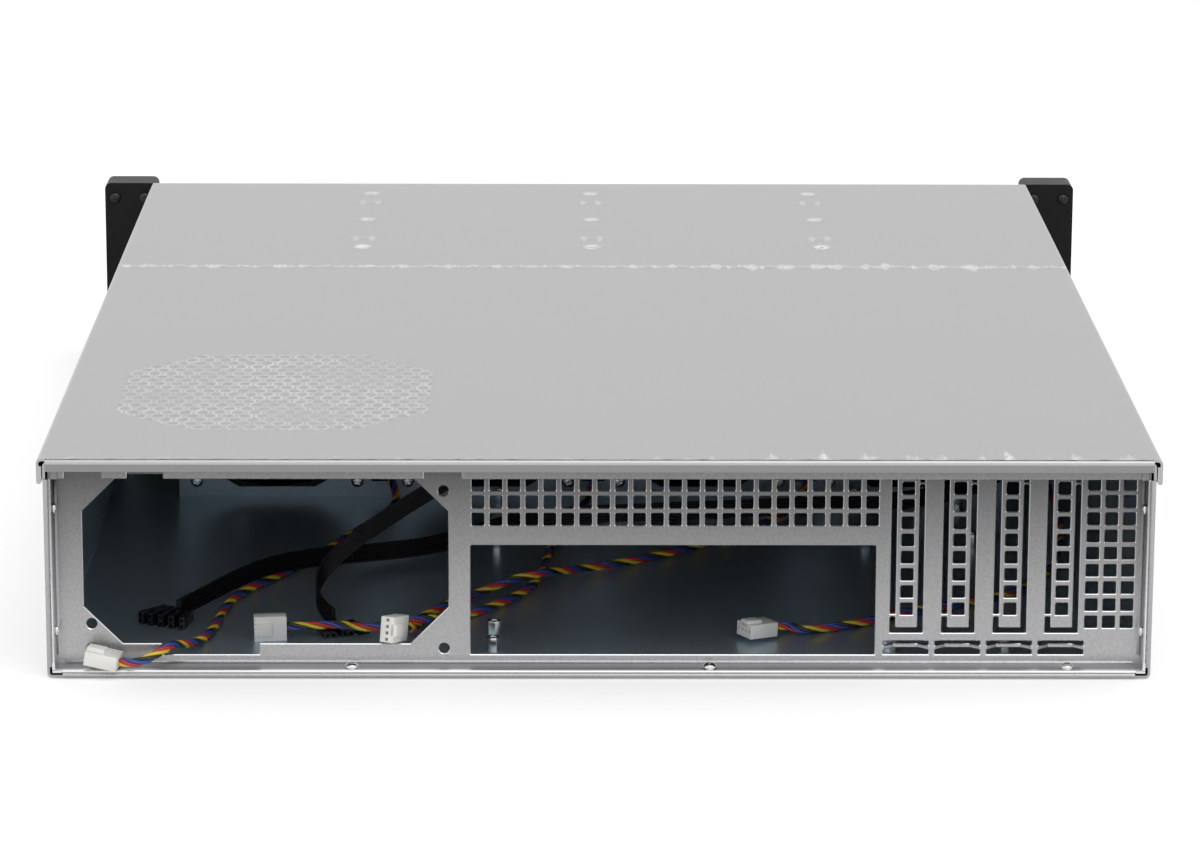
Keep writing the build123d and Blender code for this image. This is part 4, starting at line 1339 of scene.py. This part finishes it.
@dataclass
class Fasteners:
    """Screws, rivets and standoffs, each modelled once and copied to its places."""

    bright: Finish
    dark: Finish
    head: float = 5.6
    height: float = 1.7
    recess: Triple = (3.0, 0.75, 1.7)
    rivet: float = 4.4
    rivet_height: float = 1.2
    rivet_rim: float = 1.1
    rivet_hollow: float = 0.8
    post_flats: float = 5.0
    post_height: float = 6.0
    post_bore: float = 2.5
    panel_low: float = 6.3
    wall_half: float = 212.6
    outer_fan: float = 141.0
    fan_hole: float = 35.75
    fan_face: float = 272.0
    fan_middle: float = 43.7
    ear_height: float = 80.5
    cover_height: float = 81.5
    post_foot: float = 1.0

    def screw(self) -> Piece:
        """Models a domed head with a cross recess, standing on XY."""
        bpy.ops.mesh.primitive_uv_sphere_add(segments=24, ring_count=12, radius=self.head / 2 * MM)
        head = named("screw_head")
        head.scale = (1, 1, 2 * self.height / self.head)
        settle(head)
        pick(head)
        bpy.ops.object.mode_set(mode="EDIT")
        bpy.ops.mesh.select_all(action="SELECT")
        bpy.ops.mesh.bisect(plane_co=(0, 0, 0), plane_no=UP, clear_inner=True, use_fill=True)
        bpy.ops.object.mode_set(mode="OBJECT")
        for angle in (0.0, math.pi / 2):
            cut(head, box("recess_arm", mm(0, 0, self.height), mm(*self.recess), angle))
        pick(head)
        bpy.ops.object.shade_smooth_by_angle(angle=math.radians(35))
        return dress(head, self.bright)

    def rivet_head(self) -> Piece:
        """Models a flat rivet with the hollow that its stem leaves."""
        head = rod("rivet_head", 24, self.rivet / 2, self.rivet_height, self.rivet_height / 2)
        bpy.ops.object.mode_set(mode="EDIT")
        bpy.ops.mesh.select_mode(type="FACE")
        bpy.ops.mesh.select_all(action="DESELECT")
        mesh = bmesh.from_edit_mesh(head.data)
        for face in mesh.faces:
            face.select_set(face.normal.z > 0.9)
        bmesh.update_edit_mesh(head.data)
        bpy.ops.mesh.inset(thickness=self.rivet_rim * MM)
        bpy.ops.mesh.extrude_region_move(TRANSFORM_OT_translate={"value": mm(0, 0, -self.rivet_hollow)})
        bpy.ops.object.mode_set(mode="OBJECT")
        soften(head, 0.2 * MM)
        return dress(head, self.bright)

    def standoff(self) -> Piece:
        """Models a hexagonal standoff with a chamfered top and a round bore."""
        corner = self.post_flats / math.sqrt(3)
        post = rod("standoff_post", 6, corner, self.post_height, self.post_height / 2)
        cut(post, rod("standoff_bore", 20, self.post_bore / 2, 2 * self.post_height + 2))
        soften(post, 0.25 * MM)
        return dress(post, self.bright)

    def spread(self, pattern: Piece, name: str,
               spots: Iterable[tuple[Vector, Vector]]) -> Piece:
        """Copies a pattern to its places and joins the copies.

        Args:
            pattern: The finished fastener.
            name: The CAD node that the copies stand for.
            spots: Each copy's foot and the way its head points.

        Returns:
            The joined piece.
        """
        made = [copy_at(pattern, spot, away, 0.4 + 0.9 * i) for i, (spot, away) in enumerate(spots)]
        piece = join(made, name + "_detail")
        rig.replaces(piece, name)
        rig.slot(piece, "screw")
        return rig.ride(piece, Body.CHASSIS.value)

    def build(self) -> list[Piece]:
        """Makes every fastener that shows."""
        screw, rivet, post = self.screw(), self.rivet_head(), self.standoff()
        sides = (-1, 1)
        back = Vector((0, 1, 0))
        floor = [(place(x, self.panel_low, 3.0), UP) for x in (-97.0, 43.3, 183.5)]
        walls = [
            (place(side * self.wall_half, self.panel_low, height), Vector((side, 0, 0)))
            for side in sides for height in (17.6, 67.0)
        ]
        fans = [
            (place(self.outer_fan * k + self.fan_hole * i, self.fan_face, self.fan_middle + self.fan_hole * j),
             back)
            for k in (-1, -1 / 3, 1 / 3, 1) for i in sides for j in sides
        ]
        ears = [
            (place(side * x, BODY_DEPTH, self.ear_height), back) for side in sides for x in (236.3, 221.8)
        ]
        covers = [
            (place(side * COVER_HALF, depth, self.cover_height), Vector((-side, 0, 0)))
            for side in sides for depth in (58.0, 300.0)
        ]
        posts = [
            (place(x, depth, self.post_foot), UP)
            for x in (-41.8, 115.68, 161.4) for depth in (34.0, 188.94, 261.33)
        ]
        posts.append((place(-41.8, 56.86, self.post_foot), UP))
        made = [
            self.spread(screw, "panel_screws", floor),
            self.spread(rivet, "side_rivets", walls),
            self.spread(screw, "fan_screws", fans),
            dress(self.spread(screw, "ear_screws", ears), self.dark),
            self.spread(screw, "cover_screws", covers),
            self.spread(post, "board_standoffs", posts),
        ]
        for pattern in (screw, rivet, post):
            bpy.data.objects.remove(pattern)
        return made


# Studio


@dataclass
class Studio:
    """The camera, the lamps, the white room and the floor."""

    focal: float = 142.92
    pitch: float = 14.14
    yaw: float = 0.603
    roll: float = 0.217
    eye: Triple = (-18.9, -1781.7, 549.7)
    diffuse_level: float = 0.8
    lamp_size: tuple[float, float] = (1.6, 1.2)
    lamp_watts: float = 6.0
    lamp_place: Triple = (-0.5, 0.9, 1.9)
    lamp_aim: Triple = (0, 0, 0.05)
    floor_size: float = 12.0
    floor_drop: float = 0.0004
    white: float = 0.95
    lift: float = 0.30

    def camera(self) -> None:
        """Sets the camera where the photograph was taken."""
        tilt, turn, lean = (math.radians(angle) for angle in (self.pitch, self.yaw, self.roll))
        c, s = math.cos(turn), math.sin(turn)
        right = Vector((-c, s, 0))
        ahead = Vector((-s * math.cos(tilt), -c * math.cos(tilt), -math.sin(tilt)))
        down = Vector((s * math.sin(tilt), c * math.sin(tilt), -math.cos(tilt)))
        level = right * math.cos(lean) - down * math.sin(lean)
        lower = right * math.sin(lean) + down * math.cos(lean)
        lens = bpy.data.cameras.new("camera")
        lens.lens = self.focal
        lens.sensor_width = 36.0
        lens.clip_start = 0.05
        lens.clip_end = 50.0
        seen = bpy.data.objects.new("camera", lens)
        turned = Matrix((level, -lower, -ahead)).transposed().to_4x4()
        seen.matrix_world = Matrix.Translation(place(*self.eye)) @ turned
        bpy.context.collection.objects.link(seen)
        bpy.context.scene.camera = seen

    def room(self) -> None:
        """Makes the world white to the eye and to gloss, and a little softer to diffuse light."""
        world = bpy.data.worlds.new("white_room")
        world.use_nodes = True
        nodes, links = world.node_tree.nodes, world.node_tree.links
        nodes.clear()
        path = nodes.new("ShaderNodeLightPath")
        seen = path.outputs["Is Camera Ray"]
        for ray in ("Is Glossy Ray", "Is Transmission Ray"):
            either = nodes.new("ShaderNodeMath")
            either.operation = "MAXIMUM"
            links.new(seen, either.inputs[0])
            links.new(path.outputs[ray], either.inputs[1])
            seen = either.outputs[0]
        level = nodes.new("ShaderNodeMapRange")
        level.inputs["To Min"].default_value = self.diffuse_level
        level.inputs["To Max"].default_value = 1.0
        links.new(seen, level.inputs["Value"])
        back = nodes.new("ShaderNodeBackground")
        back.inputs["Color"].default_value = (1, 1, 1, 1)
        links.new(level.outputs[0], back.inputs["Strength"])
        out = nodes.new("ShaderNodeOutputWorld")
        links.new(back.outputs[0], out.inputs["Surface"])
        bpy.context.scene.world = world

    def lamps(self) -> None:
        """Hangs one broad soft lamp above the case."""
        lamp = bpy.data.lights.new("softbox", "AREA")
        lamp.shape = "RECTANGLE"
        lamp.size, lamp.size_y = self.lamp_size
        lamp.energy = self.lamp_watts
        holder = bpy.data.objects.new("softbox", lamp)
        holder.location = self.lamp_place
        ray = Vector(self.lamp_aim) - holder.location
        holder.rotation_euler = ray.to_track_quat("-Z", "Y").to_euler()
        bpy.context.collection.objects.link(holder)

    def floor(self) -> None:
        """Lays a white floor that keeps the case's shadow."""
        bpy.ops.mesh.primitive_plane_add(size=self.floor_size, location=(0, 0, -self.floor_drop))
        ground = named("studio_floor")
        shader = Shader("studio_white")
        seen = Term(shader, shader.node("LightPath").outputs["Is Camera Ray"])
        lift = shader.mix(seen, rgb((0, 0, 0)), rgb([self.lift] * 3))
        dress(ground, shader.finish(Base_Color=rgb([self.white] * 3), Roughness=0.9, Specular_IOR_Level=0.0,
                                    Emission_Color=lift, Emission_Strength=1.0))
        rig.stage(ground)

    def build(self) -> None:
        """Makes the whole studio."""
        self.camera()
        self.room()
        self.lamps()
        self.floor()
        bpy.context.scene.view_settings.view_transform = "Standard"


# The routes repeat the model's own cable points
FAN_ROUTES = (
    Route("fan_cable_1", [
        (-110, 285.5, 16), (-95, 285.5, 16), (-91, 268, 13), (-86, 252, 4.5), (-93, 230, 3.2),
        (-104, 203, 3.2), (-118.5, 164, 3.2), (-134.5, 133.5, 3.2), (-148, 108.5, 3.2), (-153, 83, 3.2),
        (-153.8, 61, 3.2),
        (-158.5, 39, 3.5), (-164.5, 24, 6.5), (-168, 12.5, 10), (-173, 5.5, 8.2), (-181.7, 0.7, 5.3),
        (-187.5, 1.7, 6.3)], 329),
    Route("fan_cable_2", [
        (-16, 285.5, 16), (-1, 285.5, 16), (0.5, 268, 12.5), (-3, 250, 4.2), (-10, 228, 3.2), (-16, 204, 3.2),
        (-19, 179, 3.2), (-21.5, 156, 3.2), (-24, 135, 3.2), (-27.5, 118, 3.2), (-33, 105.5, 3.2),
        (-40, 95, 3.2), (-46, 85, 3.2), (-53.5, 78, 3.2), (-62, 66.5, 4.4), (-69.5, 56.5, 7.8),
        (-78, 51.5, 8), (-86.5, 48, 6.9), (-95.5, 47.5, 6.6), (-104.5, 53, 6.5), (-115, 51.2, 6.3),
        (-124.9, 50.2, 6.2)], 318),
    Route("fan_cable_3", [
        (78, 285.5, 16), (93, 285.5, 16), (95.5, 268, 12.5), (91, 250, 4.2), (82, 231, 3.2), (68, 211, 3.2),
        (52, 193, 3.2), (36.5, 176, 3.2), (22, 163.5, 3.2), (8, 153.5, 3.2), (-4, 146.5, 3.4),
        (-14, 135, 5.6),
        (-24.5, 122, 8), (-35, 117, 7), (-45, 111.5, 4.2), (-53, 104, 3.2), (-62, 91, 3.2), (-69.5, 80, 3.2),
        (-73, 66, 3.2), (-73.7, 51.5, 3.2), (-73.6, 39, 7.5), (-74.1, 28.5, 13.3), (-77.8, 20.5, 14.9)], 351),
    Route("fan_cable_4", [
        (172, 285.5, 16), (187, 285.5, 16), (200, 268, 12), (204, 248, 4.2), (203, 225, 3.2), (201, 198, 3.2),
        (197, 170, 3.2), (191, 145, 3.2), (182, 123, 3.2), (171, 109, 3.2), (157, 98, 3.2), (141, 90, 3.2),
        (125.5, 81.5, 3.2), (112.5, 71.5, 3.2), (102.5, 63.5, 3.2), (92.5, 60, 3.2), (82, 54, 3.4),
        (75.2, 57.9, 5), (69.3, 54.2, 5.3)], 322),
)
CONNECTOR_ROLLS = (0, -90, -90, 0)
EAR_ROUTE = Route("ear_ribbon", [
    (203.5, 550, 74.5), (203.5, 500, 74.5), (202.5, 450, 75.5), (203.5, 402, 74), (203, 364, 71),
    (202, 332, 62), (200, 303, 47), (197, 275, 34), (187, 252, 22), (163, 236, 13), (125, 228, 10),
    (80, 222, 9.8), (35, 215, 9.8), (-5, 209, 9.8), (-34, 202, 8.8), (-52, 188, 6.8), (-69, 174, 5.6),
    (-92, 162, 6), (-112, 149, 8), (-128, 134.5, 9.8), (-141, 120.5, 9.9), (-153, 105, 8.2), (-164, 92, 5.2),
    (-170.5, 79, 5.2)], 726)
PORT_ROUTE = Route("port_ribbon", [
    (208.5, 550, 74.5), (208.5, 502, 74.5), (207.5, 452, 75.5), (208.5, 402, 74), (208, 366, 72.5),
    (207, 335, 67), (204, 300, 59), (198, 270, 57), (181, 249, 59), (150, 232, 62), (105, 214, 66),
    (55, 195, 68), (8, 175, 66), (-32, 155, 58), (-60, 134, 46), (-82, 119, 36), (-98, 108, 27.5),
    (-108.5, 102, 20), (-114, 96, 13.5), (-114.5, 86, 8.5), (-111, 76, 5.2), (-106.5, 66.5, 5.2)], 686)


@dataclass
class ServerCase:
    """The whole case: finishes for the CAD nodes, and the pieces that stand for some of them."""

    frame: dict[str, object]
    finishes: dict[str, Finish] = field(default_factory=dict)

    def mix_finishes(self) -> None:
        """Makes one material for each finish."""
        recipes = {
            "steel": SheetSteel("galvanised_sheet"),
            # Painted light on the rear panel: a darker copy of the steel, painted shade towards the top and bright at
            # the bottom, painted highlights on upward faces and at the lip, painted shade at the foot
            "painted_light_panel_steel": SheetSteel(
                "rear_panel_painted_light", (0.36, 0.36, 0.365), 0.07, 0.34, low_share=1.8, high_share=0.22, rim=0.5,
                foot_drop=1.2, lip_share=2.1, lip_depth=3.0),
            # Painted shade: a bluish, less metallic tint deep inside the tray
            "tray_steel_and_inside_shade": SheetSteel("tray_steel_and_inside_shade", mottle=0.05, roughness=0.33, inside=(0.50, 0.61, 0.69)),
            # Painted highlight on the cut edges, darker towards the top
            "painted_edge_highlight": SheetSteel("painted_edge_highlight_steel", (0.86, 0.86, 0.865), 0.03, 0.25, high_share=0.75),
            # Painted shade: a darker, bluish copy of the steel for the fan wall deep inside
            "painted_shade_wall_steel": SheetSteel("fan_wall_painted_shade", (0.24, 0.285, 0.33), 0.05, 0.36),
            # Painted shade on the cover's rear lip, a darker share there
            "cover_steel": SheetSteel(
                "cover_sheet_steel", (0.54, 0.54, 0.545), 0.03, 0.34, 1200.0, lip_share=0.6),
            "film": VentFilm("cover_film", VENT),
            "plain_film": VentFilm("front_film"),
            "black_paint": Moulded("black_lacquer", (0.012, 0.012, 0.013), 0.4, 1800.0, shine=0.2),
            "black_plastic": Moulded("black_moulding", (0.010, 0.010, 0.011), 0.42, shine=0.16),
            "glossy_black": Moulded("glossy_black_nylon", (0.010, 0.010, 0.011), 0.22, 1200.0, 0.00001),
            "grey_plastic": Moulded("grey_moulding", (0.07, 0.07, 0.075), 0.4),
            "circuit_board": BoardLacquer("board_lacquer"),
            "white_plastic": Moulded("ivory_nylon", (0.95, 0.94, 0.90), 0.35, 1500.0, 0.00002),
            "wire": WireJacket("wire_jacket"),
            "ribbon": Moulded("ribbon_jacket", (0.006, 0.006, 0.007), 0.34, 900.0, 0.00002, 0.3),
            "dark_screw": Polished("blackened_screw", (0.05, 0.05, 0.05), 0.3),
            "screw": Polished("bright_plating"),
        }
        for name, recipe in recipes.items():
            self.finishes[name] = recipe.make()
        self.finishes["standoff"] = self.finishes["screw"]

    def dress_nodes(self) -> None:
        """Gives every CAD node the finish of its slot in the record."""
        slots = {part["node"]: part["material_slot"] for part in self.frame["record"]["subparts"]}
        special = {"rear_panel": "painted_light_panel_steel", "chassis_tray": "tray_steel_and_inside_shade", "fan_wall": "painted_shade_wall_steel"}
        for name, node in self.frame["nodes"].items():
            material = self.finishes[special.get(name, slots[name])]
            if not node.material_slots:
                node.data.materials.append(material)
            for holder in node.material_slots:
                holder.material = material

    def cables(self) -> list[Piece]:
        """Makes the cables with the pieces at their ends."""
        housings = Connector(self.finishes["white_plastic"]).build(FAN_ROUTES, CONNECTOR_ROLLS)
        made = list(housings)
        for number, (route, housing) in enumerate(zip(FAN_ROUTES, housings)):
            made.append(FanCable(route, self.finishes["wire"], housing, phase=1.1 * number).build())
        plugs = HeaderPlugs(self.finishes["glossy_black"])
        ends = [plugs.build(EAR_ROUTE, 5, True), plugs.build(PORT_ROUTE, 3, False)]
        for route, end in zip((EAR_ROUTE, PORT_ROUTE), ends):
            made += [RibbonCable(route, self.finishes["ribbon"], [end]).build(), end]
        return made

    def build(self) -> None:
        """Makes every piece in turn and reports it."""
        self.mix_finishes()
        self.dress_nodes()
        Studio().build()
        finishes = self.finishes
        groups = {
            "cables": self.cables,
            "cover": VentedCover(finishes["cover_steel"], finishes["film"], finishes["plain_film"]).build,
            "panel": PiercedPanel(finishes["painted_light_panel_steel"], finishes["painted_edge_highlight"]).build,
            "fasteners": Fasteners(finishes["screw"], finishes["dark_screw"]).build,
        }
        for name, make in groups.items():
            for piece in make():
                LOG.info("%s: %s, %d faces", name, piece.name, len(piece.data.polygons))


def main() -> None:
    """Loads the frame, dresses the case and writes its sizes."""
    logging.basicConfig(level=logging.INFO, format="%(name)s %(message)s")
    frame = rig.load()
    cad_box = [list(corner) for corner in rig.bounds()]
    ServerCase(frame).build()
    bpy.context.view_layer.update()
    sizes = {"cad": cad_box, "visual": [list(corner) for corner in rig.bounds()]}
    with open("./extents.json", "w", encoding="utf-8") as file:
        json.dump(sizes, file)


if __name__ == "__main__":
    main()
